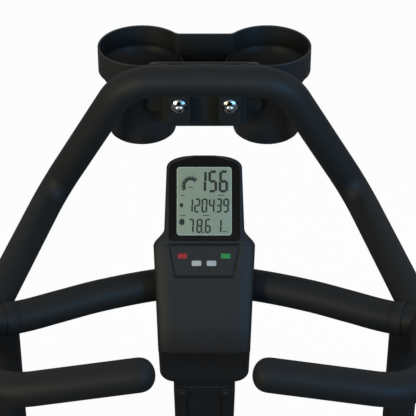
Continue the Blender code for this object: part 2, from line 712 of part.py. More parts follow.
def handlebar(finishes):
    """The looped bar, the cross bar, the hoop under it and the post that carries them."""
    coat = finishes["grip_coat"]
    whole = mirrored(loop_points())
    loop = bent_bar("loop_bar", whole, BAR_RADIUS, coat)
    for sign in (-1, 1):
        end = whole[-1] if sign > 0 else whole[0]
        inner = whole[-2] if sign > 0 else whole[1]
        dome = [(0.0, -0.004), (BAR_RADIUS - 0.0004, -0.004), (BAR_RADIUS - 0.0004, 0.003),
                (BAR_RADIUS - 0.003, 0.012), (BAR_RADIUS - 0.009, 0.0175), (0.0, 0.019)]
        combine(loop, turned("grip_end", dome, coat, end, end - inner, 12), "UNION")
    for sign in (-1, 1):
        tab_low = 0.136
        tab = block("tab", BAR_CENTRE + Vector((sign * TAB_X, TOP_BAR_Y + 0.0165, (tab_low + 0.196) / 2)),
                    (TAB_WIDTH, 0.003, 0.196 - tab_low), coat)
        nut_at = BAR_CENTRE + Vector((sign * TAB_X, TOP_BAR_Y, 0.162))
        drill(tab, nut_at, nut_at + Y_AXIS * 0.04, 0.0033, 10)
        combine(loop, tab, "UNION")
    right = [bar_point(0, 0, 0), bar_point(59, -12, 0), bar_point(113, -30, 0), bar_point(155, -49, 0),
             bar_point(191, -67, 1), bar_point(226, -83, 5)]
    cross = bent_bar("cross_bar", mirrored(right), BAR_RADIUS, coat)
    cutter = bent_bar("loop_clearance", whole, BAR_RADIUS + GAP, coat)
    combine(cross, cutter)
    hoop = [bar_point(-215, -75, -10), bar_point(-215, -75, -196), bar_point(215, -75, -196),
            bar_point(215, -75, -10)]
    made = bent_bar("support_hoop", filleted(hoop, (0.060, 0.060), 0.3), BAR_RADIUS, coat)
    combine(made, cutter)
    cross_clearance = bent_bar("cross_clearance", mirrored(right), BAR_RADIUS + GAP, coat)
    combine(made, cross_clearance)
    steel = finishes["post_steel"]
    post_top = BAR_CENTRE.z - BAR_RADIUS - GAP
    box_tube("handlebar_post", Vector((0, HEAD_Y, HEAD_BOTTOM + 0.045)), Vector((0, HEAD_Y, post_top)),
             POST_SIZE,
             steel, WALL)
    stem_low, stem_high = BAR_CENTRE.z - 0.170, post_top - 0.004
    stem = box_tube("stem_cover", Vector((0, HEAD_Y - 0.006, stem_low)),
                    Vector((0, HEAD_Y - 0.006, stem_high)),
                    (0.065, 0.070), finishes["black_plastic"], radius=0.012)
    room = box_tube("stem_room", Vector((0, HEAD_Y, stem_low - 0.01)),
                    Vector((0, HEAD_Y, stem_high + 0.01)),
                    (POST_SIZE[0] + 0.0008, POST_SIZE[1] + 0.0008), finishes["black_plastic"])
    combine(stem, room)
    return cross_clearance


def bridge_box(name, half_width, front, back, low, high, material):
    """A box of the bridge between the cups, placed from the middle of the cross bar."""
    centre = BAR_CENTRE + Vector((0, (front + back) / 2, (low + high) / 2))
    return block(name, centre, (2 * half_width, back - front, high - low), material)


def cup_holder(finishes):
    """Two round cups joined by an open bridge, and the two nuts that hold it to the tabs."""
    plastic = finishes["cup_plastic"]
    wall = CUP_WALL
    top, low = CUP_RIM_Z, CUP_RIM_Z - CUP_DEPTH
    band_low = top - CUP_BAND
    outside = [(0.0, low), (CUP_BODY_RADIUS - 0.005, low), (CUP_BODY_RADIUS, low + 0.005),
               (CUP_BODY_RADIUS, band_low - 0.016), (CUP_RIM_RADIUS, band_low), (CUP_RIM_RADIUS, top)]
    inside = [(CUP_RIM_RADIUS - wall, top), (CUP_RIM_RADIUS - wall, band_low + 0.001),
              (CUP_BODY_RADIUS - wall, band_low - 0.015),
              (CUP_BODY_RADIUS - wall, low + wall), (0.0, low + wall)]
    solid = outside + [(0.0, top)]
    room = [(0.0, low + wall)] + inside[::-1][1:] + [(CUP_RIM_RADIUS - wall, top + 0.01), (0.0, top + 0.01)]
    narrow = (0.0465, 0.118, 0.2045, 0.125)
    wide = (0.0600, 0.1325, 0.2043, 0.135)
    holder = bridge_box("cup_holder", *narrow, top - 0.0002, plastic)
    combine(holder, bridge_box("wide_bridge", *wide, top - 0.0003, plastic), "UNION")
    for sign in (-1, 1):
        axis = BAR_CENTRE + Vector((sign * CUP_X, CUP_Y, 0))
        combine(holder, turned("cup_solid", solid, plastic, axis, steps=32), "UNION")
    for half_width, front, back, floor in (narrow, wide):
        inner = half_width - wall if half_width < wide[0] else half_width
        combine(holder, bridge_box("trough", inner, front + wall, back - wall, floor + wall, top + 0.01,
                                   plastic))
    for sign in (-1, 1):
        axis = BAR_CENTRE + Vector((sign * CUP_X, CUP_Y, 0))
        combine(holder, turned("cup_room", room, plastic, axis, steps=32))
    for side, sign in (("left", -1), ("right", 1)):
        at = BAR_CENTRE + Vector((sign * TAB_X, TOP_BAR_Y + 0.015 - GAP, 0.162))
        nut = [(0.0, 0.0155), (0.003, 0.015), (0.0058, 0.012), (0.0066, 0.008), (0.0074, 0.0075),
               (0.0074, 0.0018),
               (0.0085, 0.0016), (0.0085, 0.0), (0.0030, 0.0), (0.0030, -0.026), (0.0, -0.026)]
        turned("cup_nut_" + side, nut[::-1], finishes["chrome"], at, -Y_AXIS, 12)
        drill(holder, at, at + Y_AXIS * 0.030, 0.0033, 10)


# ---------------------------------------------------------------- console

def face_turn():
    """X across the console, Y up its face and Z out of it, towards the rider."""
    up = Vector((0, math.cos(FACE_SLOPE), math.sin(FACE_SLOPE)))
    return Matrix((X_AXIS, up, X_AXIS.cross(up))).transposed()


def on_face(x, s, out=0.0):
    """A point on the console's face, s metres up the slope and out metres clear of it."""
    return BAR_CENTRE + FACE_ZERO + face_turn() @ Vector((x, s, out))


def console_half_width(s):
    """Half the console's width at s up the face: narrow at the display, wide at the keys, then tapered."""
    taper = 0.048 + 0.0055 * (s - CONSOLE_BOTTOM) / (0.040 - CONSOLE_BOTTOM)
    if s <= 0.036:
        return taper
    blend = min(1.0, (s - 0.036) / 0.014)
    return 0.0535 + (0.0412 - 0.0535) * (blend * blend * (3 - 2 * blend))


def face_slab(name, stations, front, back, trim, material):
    """A closed slab along the console's face from depth front to depth back behind the face."""
    shape = bmesh.new()
    rings = []
    for s, shrink in stations:
        half = console_half_width(s) - trim - shrink
        soft = 0.004
        outline = [(half, -back), (half, -front - soft), (half - soft, -front), (-half + soft, -front),
                   (-half, -front - soft), (-half, -back)]
        rings.append([shape.verts.new(on_face(x, s, out)) for x, out in outline])
    bridge(shape, rings, "cap")
    return add(name, to_mesh(shape), material)


def console(finishes, cross_clearance):
    """The front and back shells, the display, the board behind it and the four keys."""
    plastic = finishes["black_plastic"]
    stations = [(CONSOLE_BOTTOM, 0.0), (-0.020, 0.0), (0.036, 0.0), (0.0395, 0.0), (0.043, 0.0),
                (0.0465, 0.0),
                (0.050, 0.0), (0.120, 0.0005), (0.131, 0.004), (0.137, 0.013), (CONSOLE_TOP, 0.026)]
    front = face_slab("console_front", stations, 0.0, CONSOLE_FRONT_DEPTH, 0.0, plastic)
    split = CONSOLE_FRONT_DEPTH + GAP
    behind = [(-0.018, 0.0)] + stations[2:-1]
    back = face_slab("console_back", behind, split, split + CONSOLE_BACK_DEPTH, 0.0015, plastic)
    room = block("board_room", Vector(), (0.070, 0.096, 0.024), plastic)
    room.matrix_world = Matrix.Translation(on_face(0, 0.075, -split - 0.004)) @ face_turn().to_4x4()
    combine(back, room)
    combine(back, cross_clearance)
    board = block("circuit_board", Vector(), (0.066, 0.090, 0.0016), finishes["board"])
    board.matrix_world = Matrix.Translation(on_face(0, 0.075, -split - 0.006)) @ face_turn().to_4x4()
    chin_top = on_face(0, CONSOLE_BOTTOM)
    chin_y = (chin_top.y + 0.004, BAR_CENTRE.y - 0.0722)
    chin = block("chin", Vector((0, sum(chin_y) / 2, chin_top.z - 0.0235)),
                 (0.095, chin_y[1] - chin_y[0], 0.057),
                 plastic, 0.006)
    combine(front, chin, "UNION")
    glass = block("display_glass", Vector(), (0.078, 0.084, 0.0022), finishes["gloss_black"], 0.001, 1)
    glass.matrix_world = Matrix.Translation(on_face(0, 0.0925, GAP + 0.0011)) @ face_turn().to_4x4()
    for name, x, s, colour in (("key_start", 0.0229, 0.031, "green_key"),
                               ("key_reset", -0.0232, 0.031, "red_key"),
                               ("key_down", -0.0083, 0.0232, "white_key"), ("key_up", 0.0078, 0.0232,
                                                                            "white_key")):
        pocket = block("pocket", Vector(), (0.0112, 0.0068, 0.005), plastic)
        pocket.matrix_world = Matrix.Translation(on_face(x, s, -0.0005)) @ face_turn().to_4x4()
        combine(front, pocket)
        key = block(name, Vector(), (0.0106, 0.0062, 0.0026), finishes[colour], 0.0006, 1)
        key.matrix_world = Matrix.Translation(on_face(x, s, -0.0004)) @ face_turn().to_4x4()


def main():
    for old in list(bpy.data.objects):
        bpy.data.objects.remove(old)
    finishes = make_finishes()
    base(finishes)
    forks_and_head(finishes)
    beam(finishes)
    flywheel(finishes)
    drive(finishes)
    crank_side("left", -1, finishes)
    crank_side("right", 1, finishes)
    seat(finishes)
    pins(finishes)
    brake(finishes)
    cross_clearance = handlebar(finishes)
    cup_holder(finishes)
    console(finishes, cross_clearance)


main()
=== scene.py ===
"""Indoor cycling bike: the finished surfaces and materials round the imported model.

Everything is in metres in the model's own frame: +Y is the way the rider faces and +Z is up. Each
sub-assembly is a class that holds its sizes and builds its pieces. Each finish is a frozen dataclass.
"""

import json
import logging
import math
from dataclasses import dataclass, field
from enum import Enum

import bmesh
import bpy
import numpy as np
from mathutils import Matrix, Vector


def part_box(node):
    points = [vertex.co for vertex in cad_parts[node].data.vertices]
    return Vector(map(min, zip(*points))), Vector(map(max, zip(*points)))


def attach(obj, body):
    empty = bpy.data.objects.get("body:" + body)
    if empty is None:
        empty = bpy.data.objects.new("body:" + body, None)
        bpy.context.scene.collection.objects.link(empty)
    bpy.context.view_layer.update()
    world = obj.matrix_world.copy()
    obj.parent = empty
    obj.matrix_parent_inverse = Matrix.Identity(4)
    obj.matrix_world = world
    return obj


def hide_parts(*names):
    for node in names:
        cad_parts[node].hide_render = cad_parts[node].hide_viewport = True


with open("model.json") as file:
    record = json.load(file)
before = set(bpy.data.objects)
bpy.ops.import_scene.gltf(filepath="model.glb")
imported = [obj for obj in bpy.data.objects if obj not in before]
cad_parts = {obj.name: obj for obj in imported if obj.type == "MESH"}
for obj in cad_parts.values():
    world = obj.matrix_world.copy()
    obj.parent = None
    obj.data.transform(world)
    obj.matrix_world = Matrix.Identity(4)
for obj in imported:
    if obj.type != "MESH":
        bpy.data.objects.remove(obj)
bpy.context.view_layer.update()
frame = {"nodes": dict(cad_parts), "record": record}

LOG = logging.getLogger("bike")
Array = np.ndarray
Profile = list[tuple[float, float]]
X = np.array((1.0, 0.0, 0.0))
Y = np.array((0.0, 1.0, 0.0))
Z = np.array((0.0, 0.0, 1.0))

# Profiles of small turned parts, as (radius, height) points in metres
STEM_BOSS = [(0.0, 0.0), (0.0078, 0.0), (0.0070, 0.0034), (0.0, 0.0040)]
STEM_SCREW = [(0.0, 0.0030), (0.0030, 0.0030), (0.0030, 0.0044), (0.0, 0.0050)]
BOLT_HEAD = [(0.0, 0.0), (0.0046, 0.0), (0.0046, 0.0030), (0.0, 0.0034)]
SCREW_HEAD = [(0.0, 0.0), (0.0038, 0.0), (0.0038, 0.0012), (0.0026, 0.0018), (0.0, 0.0018)]
COVER_RING = [(0.0165, 0.0), (0.0215, 0.0), (0.0210, 0.0016), (0.0172, 0.0016)]
WASHER = [(0.0032, 0.0), (0.0086, 0.0), (0.0086, 0.0013), (0.0032, 0.0013)]
PEDAL_CAP = [(0.0, 0.0), (0.0085, 0.0), (0.0085, 0.0022), (0.0, 0.0028)]


# ------------------------------------------------------------------ finishes

class Texture(Enum):
    """How a finish's fine surface is shaped."""

    GRAIN = "grain"
    LEATHER = "leather"
    BRUSHED = "brushed"


def new_group(name: str, inputs: dict[str, float], outputs: dict[str, str]) -> bpy.types.NodeTree:
    """An empty shader node group with float inputs.

    Args:
        name: The group's name.
        inputs: Each input's name and default value.
        outputs: Each output's name and socket type.

    Returns:
        The node tree, with its input and output nodes in place.
    """
    tree = bpy.data.node_groups.new(name, "ShaderNodeTree")
    for key, value in inputs.items():
        socket = tree.interface.new_socket(key, in_out="INPUT", socket_type="NodeSocketFloat")
        socket.default_value = value
    for key, kind in outputs.items():
        tree.interface.new_socket(key, in_out="OUTPUT", socket_type=kind)
    tree.nodes.new("NodeGroupInput").name = "in"
    tree.nodes.new("NodeGroupOutput").name = "out"
    return tree


def add_node(tree: bpy.types.NodeTree, kind: str, **settings: object) -> bpy.types.Node:
    """A node with its settings and input values given by name.

    Args:
        tree: The node tree.
        kind: The node's type name.
        settings: Input values or properties by name.

    Returns:
        The node.
    """
    node = tree.nodes.new(kind)
    for key, value in settings.items():
        if key in node.inputs:
            node.inputs[key].default_value = value
        else:
            setattr(node, key, value)
    return node


def set_inputs(node: bpy.types.Node, values: dict[str, object]) -> None:
    """Sets a node's input values by name."""
    for key, value in values.items():
        node.inputs[key].default_value = value


def math_node(tree: bpy.types.NodeTree, operation: str, first: object,
              second: object) -> bpy.types.NodeSocket:
    """The result of a sum of two sockets or numbers.

    Args:
        tree: The node tree.
        operation: The operation's name, such as MULTIPLY.
        first: The first socket or number.
        second: The second socket or number.

    Returns:
        The result's socket.
    """
    node = tree.nodes.new("ShaderNodeMath")
    node.operation = operation
    for slot, value in zip(node.inputs, (first, second)):
        if isinstance(value, bpy.types.NodeSocket):
            tree.links.new(value, slot)
        else:
            slot.default_value = value
    return node.outputs[0]


def mottle_group() -> bpy.types.NodeTree:
    """Slow variation over a surface: a mask from two sizes of noise, and a roughness that follows it.

    The mask is the mean of a coarse and a medium noise. Roughness is its middle value plus the mask,
    centred on zero, times its spread.

    Returns:
        The group, with the outputs Mask and Roughness.
    """
    tree = new_group("slow_mottle", {"Scale": 14.0, "Roughness": 0.5, "Spread": 0.1},
                     {"Mask": "NodeSocketFloat", "Roughness": "NodeSocketFloat"})
    given, out = tree.nodes["in"], tree.nodes["out"]
    place = add_node(tree, "ShaderNodeTexCoord")
    coarse = add_node(tree, "ShaderNodeTexNoise", Detail=3.0)
    fine = add_node(tree, "ShaderNodeTexNoise", Detail=4.0)
    tree.links.new(place.outputs["Object"], coarse.inputs["Vector"])
    tree.links.new(place.outputs["Object"], fine.inputs["Vector"])
    tree.links.new(given.outputs["Scale"], coarse.inputs["Scale"])
    tree.links.new(math_node(tree, "MULTIPLY", given.outputs["Scale"], 7.0), fine.inputs["Scale"])
    both = math_node(tree, "ADD", coarse.outputs["Fac"], fine.outputs["Fac"])
    mask = math_node(tree, "MULTIPLY", both, 0.5)
    shift = math_node(tree, "MULTIPLY", math_node(tree, "SUBTRACT", mask, 0.5), given.outputs["Spread"])
    tree.links.new(mask, out.inputs["Mask"])
    tree.links.new(math_node(tree, "ADD", given.outputs["Roughness"], shift), out.inputs["Roughness"])
    return tree


def relief_group(texture: Texture) -> bpy.types.NodeTree:
    """Fine relief: spark-eroded grain, leather pores or brush lines.

    Grain is a fine noise. Leather is the distance to the nearest cell centre of a Voronoi pattern,
    softened by noise. Brush lines are noise whose coordinates are stretched thirty times across one axis.

    Args:
        texture: The kind of relief.

    Returns:
        The group, with the output Height.
    """
    tree = new_group("relief_" + texture.value, {"Scale": 900.0}, {"Height": "NodeSocketFloat"})
    given, out = tree.nodes["in"], tree.nodes["out"]
    place = add_node(tree, "ShaderNodeTexCoord")
    vector = place.outputs["Object"]
    if texture is Texture.BRUSHED:
        mapping = tree.nodes.new("ShaderNodeMapping")
        mapping.inputs["Scale"].default_value = (1.0, 1.0, 0.03)
        tree.links.new(vector, mapping.inputs["Vector"])
        vector = mapping.outputs["Vector"]
    noise = add_node(tree, "ShaderNodeTexNoise", Detail=2.0)
    tree.links.new(vector, noise.inputs["Vector"])
    tree.links.new(given.outputs["Scale"], noise.inputs["Scale"])
    height = noise.outputs["Fac"]
    if texture is Texture.LEATHER:
        cells = add_node(tree, "ShaderNodeTexVoronoi")
        tree.links.new(vector, cells.inputs["Vector"])
        tree.links.new(given.outputs["Scale"], cells.inputs["Scale"])
        softer = math_node(tree, "MULTIPLY", height, 0.4)
        height = math_node(tree, "SUBTRACT", softer, cells.outputs["Distance"])
    tree.links.new(height, out.inputs["Height"])
    return tree


def wear_group() -> bpy.types.NodeTree:
    """A mask of rubbed edges: where the surface is sharply convex, broken up by noise.

    Returns:
        The group, with the output Mask.
    """
    tree = new_group("edge_wear", {"Amount": 0.5}, {"Mask": "NodeSocketFloat"})
    given, out = tree.nodes["in"], tree.nodes["out"]
    geometry = add_node(tree, "ShaderNodeNewGeometry")
    place = add_node(tree, "ShaderNodeTexCoord")
    noise = add_node(tree, "ShaderNodeTexNoise", Scale=160.0, Detail=4.0)
    tree.links.new(place.outputs["Object"], noise.inputs["Vector"])
    edge = add_node(tree, "ShaderNodeMapRange")
    set_inputs(edge, {"From Min": 0.52, "From Max": 0.64})
    tree.links.new(geometry.outputs["Pointiness"], edge.inputs["Value"])
    broken = math_node(tree, "MULTIPLY", edge.outputs["Result"], noise.outputs["Fac"])
    tree.links.new(math_node(tree, "MULTIPLY", broken, given.outputs["Amount"]), out.inputs["Mask"])
    return tree


@dataclass(frozen=True)
class Finish:
    """One surface finish: a Principled shader with slow mottling, fine relief and rubbed edges."""

    name: str
    colour: tuple[float, float, float]
    second: tuple[float, float, float]
    roughness: float
    spread: float = 0.12
    metallic: float = 0.0
    texture: Texture = Texture.GRAIN
    relief_scale: float = 1400.0
    relief: float = 0.15
    wear: float = 0.0
    worn: tuple[float, float, float] = (0.10, 0.10, 0.10)
    specular: float = 0.5
    coat: float = 0.0
    mottle: float = 14.0

    def build(self, groups: dict[str, bpy.types.NodeTree]) -> bpy.types.Material:
        """The finish's material.

        Args:
            groups: The shared node groups by name.

        Returns:
            A new material.
        """
        material = bpy.data.materials.new(self.name)
        material.use_nodes = True
        tree = material.node_tree
        shader = tree.nodes["Principled BSDF"]
        set_inputs(shader, {"Metallic": self.metallic, "Specular IOR Level": self.specular,
                            "Coat Weight": self.coat, "Coat Roughness": 0.08})
        mottle = add_node(tree, "ShaderNodeGroup", node_tree=groups["mottle"], Scale=self.mottle,
                          Roughness=self.roughness, Spread=self.spread)
        blend = add_node(tree, "ShaderNodeMix", data_type="RGBA")
        blend.inputs[6].default_value = (*self.colour, 1.0)
        blend.inputs[7].default_value = (*self.second, 1.0)
        tree.links.new(mottle.outputs["Mask"], blend.inputs["Factor"])
        colour = blend.outputs[2]
        if self.wear:
            edges = add_node(tree, "ShaderNodeGroup", node_tree=groups["wear"], Amount=self.wear)
            rubbed = add_node(tree, "ShaderNodeMix", data_type="RGBA")
            rubbed.inputs[7].default_value = (*self.worn, 1.0)
            tree.links.new(edges.outputs["Mask"], rubbed.inputs["Factor"])
            tree.links.new(colour, rubbed.inputs[6])
            colour = rubbed.outputs[2]
        tree.links.new(colour, shader.inputs["Base Color"])
        tree.links.new(mottle.outputs["Roughness"], shader.inputs["Roughness"])
        relief = add_node(tree, "ShaderNodeGroup", node_tree=groups[self.texture.value],
                          Scale=self.relief_scale)
        bump = add_node(tree, "ShaderNodeBump", Strength=self.relief, Distance=0.0004)
        tree.links.new(relief.outputs["Height"], bump.inputs["Height"])
        tree.links.new(bump.outputs["Normal"], shader.inputs["Normal"])
        return material


FINISHES = (
    Finish("frame_paint", (0.010, 0.011, 0.012), (0.018, 0.019, 0.020), 0.50, 0.16, 0.0, relief=0.10, wear=0.7,
           worn=(0.09, 0.09, 0.09), specular=0.35),
    Finish("end_plastic", (0.012, 0.012, 0.013), (0.020, 0.020, 0.021), 0.60, relief=0.3, relief_scale=1100.0),
    Finish("foot_rubber", (0.010, 0.010, 0.010), (0.020, 0.020, 0.019), 0.82, relief=0.35, relief_scale=800.0),
    Finish("cover_plastic", (0.012, 0.012, 0.014), (0.019, 0.019, 0.021), 0.60, relief=0.25, relief_scale=1000.0,
           wear=0.3, worn=(0.05, 0.05, 0.05), specular=0.30),
    Finish("knob_plastic", (0.013, 0.013, 0.014), (0.021, 0.021, 0.022), 0.50, relief=0.25),
    Finish("belt_rubber", (0.008, 0.008, 0.008), (0.015, 0.015, 0.015), 0.75, relief=0.3),
    Finish("flywheel_iron", (0.050, 0.050, 0.053), (0.085, 0.086, 0.090), 0.38, 0.2, 0.8, relief=0.2,
           relief_scale=500.0, wear=0.9, worn=(0.35, 0.35, 0.36)),
    Finish("crank_steel", (0.060, 0.060, 0.064), (0.090, 0.090, 0.094), 0.35, 0.15, 0.9, relief=0.12, wear=0.6,
           worn=(0.4, 0.4, 0.4)),
    Finish("post_steel", (0.45, 0.46, 0.47), (0.58, 0.59, 0.60), 0.28, 0.16, 1.0, Texture.BRUSHED, 700.0, 0.12),
    Finish("chrome", (0.62, 0.66, 0.70), (0.74, 0.77, 0.80), 0.10, 0.05, 1.0, relief=0.02),
    Finish("grip_coat", (0.0115, 0.0125, 0.0135), (0.0175, 0.0180, 0.0190), 0.58, 0.10, relief=0.22,
           relief_scale=1300.0, specular=0.36),
    Finish("cup_plastic", (0.0100, 0.0118, 0.0130), (0.0150, 0.0165, 0.0175), 0.46, 0.08, relief=0.08,
           relief_scale=900.0, specular=0.7),
    Finish("console_plastic", (0.0150, 0.0155, 0.0170), (0.0215, 0.0220, 0.0235), 0.55, 0.10, relief=0.30,
           relief_scale=1500.0, specular=0.4),
    Finish("display_gloss", (0.0008, 0.0008, 0.0009), (0.0016, 0.0016, 0.0018), 0.14, 0.05, relief=0.01,
           specular=0.25),
    Finish("display_lcd", (0.27, 0.33, 0.235), (0.34, 0.40, 0.30), 0.35, 0.08, relief=0.03),
    Finish("display_rim", (0.44, 0.49, 0.41), (0.52, 0.57, 0.49), 0.40, 0.08, relief=0.03),
    Finish("display_ink", (0.012, 0.016, 0.014), (0.018, 0.022, 0.020), 0.45, 0.08, relief=0.02),
    Finish("board", (0.02, 0.12, 0.04), (0.03, 0.17, 0.06), 0.45),
    Finish("saddle_skin", (0.010, 0.010, 0.011), (0.019, 0.019, 0.020), 0.52, 0.14, texture=Texture.LEATHER,
           relief_scale=420.0, relief=0.5),
    Finish("saddle_thread", (0.10, 0.10, 0.10), (0.16, 0.16, 0.16), 0.75, relief=0.4),
    Finish("key_red", (0.36, 0.012, 0.012), (0.46, 0.03, 0.03), 0.45, relief=0.1),
    Finish("key_green", (0.02, 0.24, 0.05), (0.04, 0.32, 0.08), 0.45, relief=0.1),
    Finish("key_white", (0.50, 0.50, 0.50), (0.60, 0.60, 0.60), 0.45, relief=0.1),
)


def build_finishes() -> dict[str, bpy.types.Material]:
    """Every finish's material by name.

    Returns:
        The materials.
    """
    groups = {"mottle": mottle_group(), "wear": wear_group()}
    groups.update({texture.value: relief_group(texture) for texture in Texture})
    return {finish.name: finish.build(groups) for finish in FINISHES}


MATERIALS: dict[str, bpy.types.Material] = {}
BODY_OF: dict[str, str] = {
    node: body for body, nodes in frame["record"]["behaviour"]["bodies"].items() for node in nodes
}
SLOT_OF: dict[str, str] = {part["node"]: part["material_slot"] for part in frame["record"]["subparts"]}


def add_object(name: str, data: bpy.types.ID) -> bpy.types.Object:
    """A new object that holds the data, linked to the scene.

    Args:
        name: The object's name.
        data: Its mesh, light or camera.

    Returns:
        The object.
    """
    thing = bpy.data.objects.new(name, data)
    bpy.context.scene.collection.objects.link(thing)
    return thing


# ------------------------------------------------------------------ surfaces

class Shape:
    """A mesh gathered from surfaces that are worked out as whole arrays."""

    def __init__(self, name: str) -> None:
        """Starts an empty shape.

        Args:
            name: The piece's name.
        """
        self.name = name
        self.points: list[Array] = []
        self.faces: list[Array] = []
        self.count = 0

    def grid(self, points: Array, closed: bool = False, turn: Array | None = None) -> "Shape":
        """Adds a surface of rings, each a closed loop of points.

        Quads join ring i to ring i + 1 and point j to point j + 1, both counted round. The ends are
        closed by a fan to each end ring's mean, unless the last ring joins the first. If the volume that
        the faces enclose comes out negative, every face is turned round.

        Args:
            points: Rings by points by three coordinates.
            closed: True where the last ring joins the first, as in a wall's outer and inner skins.
            turn: A 4 by 4 placement applied to the points.

        Returns:
            The shape itself.
        """
        rings, sides = points.shape[:2]
        flat = points.reshape(-1, 3)
        row = np.arange(rings if closed else rings - 1)[:, None]
        col = np.arange(sides)[None, :]
        after, beside = (row + 1) % rings, (col + 1) % sides
        quads = np.stack([row * sides + col, row * sides + beside,
                          after * sides + beside, after * sides + col], -1)
        parts = [quads.reshape(-1, 4)]
        if not closed:
            flat = np.vstack([flat, points[0].mean(0), points[-1].mean(0)])
            ring, step = np.arange(sides), (np.arange(sides) + 1) % sides
            low, high = np.full(sides, rings * sides), np.full(sides, rings * sides + 1)
            last = (rings - 1) * sides
            parts.append(np.stack([step, ring, low], -1))
            parts.append(np.stack([last + ring, last + step, high], -1))
        if turn is not None:
            flat = flat @ turn[:3, :3].T + turn[:3, 3]
        if self.volume(flat, parts) < 0:
            parts = [part[:, ::-1] for part in parts]
        self.points.append(flat)
        self.faces += [part + self.count for part in parts]
        self.count += len(flat)
        return self

    @staticmethod
    def volume(points: Array, parts: list[Array]) -> float:
        """Six times the volume that the faces enclose: the sum of the triple products of their triangles.

        Args:
            points: The points.
            parts: Faces of one size each, as point numbers.

        Returns:
            The volume times six, negative if the faces look inwards.
        """
        total = 0.0
        for part in parts:
            for i in range(1, part.shape[1] - 1):
                corners = points[part[:, (0, i, i + 1)]]
                total += float(np.einsum("ij,ij->", corners[:, 0], np.cross(corners[:, 1], corners[:, 2])))
        return total

    def finish(self, look: str, body: str, replaces: tuple[str, ...] = (),
               angle: float = 32.0) -> bpy.types.Object:
        """Makes the object, dresses it and fixes it to its body.

        Args:
            look: The finish's name.
            body: The CAD body that it rides on.
            replaces: The CAD nodes that it stands for.
            angle: The edge angle in degrees above which shading is sharp.

        Returns:
            The finished piece.
        """
        mesh = bpy.data.meshes.new(self.name)
        points = np.vstack(self.points)
        loops = np.concatenate([part.reshape(-1) for part in self.faces])
        totals = np.concatenate([np.full(len(part), part.shape[1]) for part in self.faces])
        mesh.vertices.add(len(points))
        mesh.vertices.foreach_set("co", points.astype(np.float32).reshape(-1))
        mesh.loops.add(len(loops))
        mesh.loops.foreach_set("vertex_index", loops.astype(np.int32))
        mesh.polygons.add(len(totals))
        mesh.polygons.foreach_set("loop_start", (np.cumsum(totals) - totals).astype(np.int32))
        mesh.polygons.foreach_set("loop_total", totals.astype(np.int32))
        mesh.update(calc_edges=True)
        mesh.polygons.foreach_set("use_smooth", np.ones(len(totals), bool))
        mesh.set_sharp_from_angle(angle=math.radians(angle))
        return fix(add_object(self.name, mesh), look, body, replaces)


def fix(piece: bpy.types.Object, look: str, body: str, replaces: tuple[str, ...]) -> bpy.types.Object:
    """Gives a piece its material, body and slot, and hides the CAD nodes that it stands for.

    Args:
        piece: The piece.
        look: The finish's name.
        body: The CAD body that it rides on.
        replaces: The CAD nodes that it stands for.

    Returns:
        The same piece.
    """
    piece.data.materials.clear()
    piece.data.materials.append(MATERIALS[look])
    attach(piece, body)
    if replaces:
        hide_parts(*replaces)
    LOG.info("%s rides on %s, %d faces", piece.name, body, len(piece.data.polygons))
    return piece


def rounded(width: float, height: float, radius: float, steps: int = 8) -> Array:
    """A rounded rectangle: a quarter circle about each corner's centre, counter-clockwise.

    Args:
        width: The size in X.
        height: The size in Y.
        radius: The corners' radius.
        steps: Steps in each quarter circle.

    Returns:
        The outline's points.
    """
    angle = np.linspace(0.0, math.pi / 2, steps + 1)
    quarters = []
    for turn, (side_x, side_y) in enumerate(((1, 1), (-1, 1), (-1, -1), (1, -1))):
        around = angle + turn * math.pi / 2
        centre = np.array((side_x * (width / 2 - radius), side_y * (height / 2 - radius)))
        quarters.append(centre + radius * np.stack([np.cos(around), np.sin(around)], -1))
    return np.concatenate(quarters)


def inset(outline: Array, distance: float) -> Array:
    """An outline moved inwards along its own normals, which are its tangents turned a quarter.

    Args:
        outline: A closed outline.
        distance: How far to move it, or less than zero for outwards.

    Returns:
        The new outline.
    """
    ahead = np.roll(outline, -1, 0) - np.roll(outline, 1, 0)
    normal = np.stack([ahead[:, 1], -ahead[:, 0]], -1)
    normal /= np.maximum(np.linalg.norm(normal, axis=1, keepdims=True), 1e-12)
    area = np.sum(outline[:, 0] * np.roll(outline[:, 1], -1) - np.roll(outline[:, 0], -1) * outline[:, 1])
    return outline - normal * distance * (1.0 if area > 0 else -1.0)


def at_height(outline: Array, height: float) -> Array:
    """A flat outline as points at one height."""
    return np.column_stack([outline, np.full(len(outline), height)])


def slab(outline: Array, low: float, high: float, edge: float, steps: int = 4) -> Array:
    """Rings of a flat solid whose edges are rounded.

    At each end the outline is inset by edge times one minus the cosine of an angle, while the height runs
    by edge times its sine, which is a quarter circle.

    Args:
        outline: The plan.
        low: The lower face's height.
        high: The upper face's height.
        edge: The rounding's radius.
        steps: Steps in each quarter circle.

    Returns:
        The rings.
    """
    angle = np.linspace(0.0, math.pi / 2, steps + 1)
    rings = [(edge * (1 - math.sin(a)), low + edge * (1 - math.cos(a))) for a in angle]
    rings += [(edge * (1 - math.cos(a)), high - edge * (1 - math.sin(a))) for a in angle]
    return np.stack([at_height(inset(outline, distance), height) for distance, height in rings])


def lathe(profile: Profile, sides: int = 72) -> Array:
    """Rings of (radius, height) points spun about Z.

    Args:
        profile: (radius, height) points.
        sides: The number of sides.

    Returns:
        The rings.
    """
    angle = np.linspace(0.0, 2 * math.pi, sides, endpoint=False)
    radius, height = np.array(profile, float).T
    return np.stack([np.outer(radius, np.cos(angle)), np.outer(radius, np.sin(angle)),
                     np.repeat(height[:, None], sides, 1)], -1)


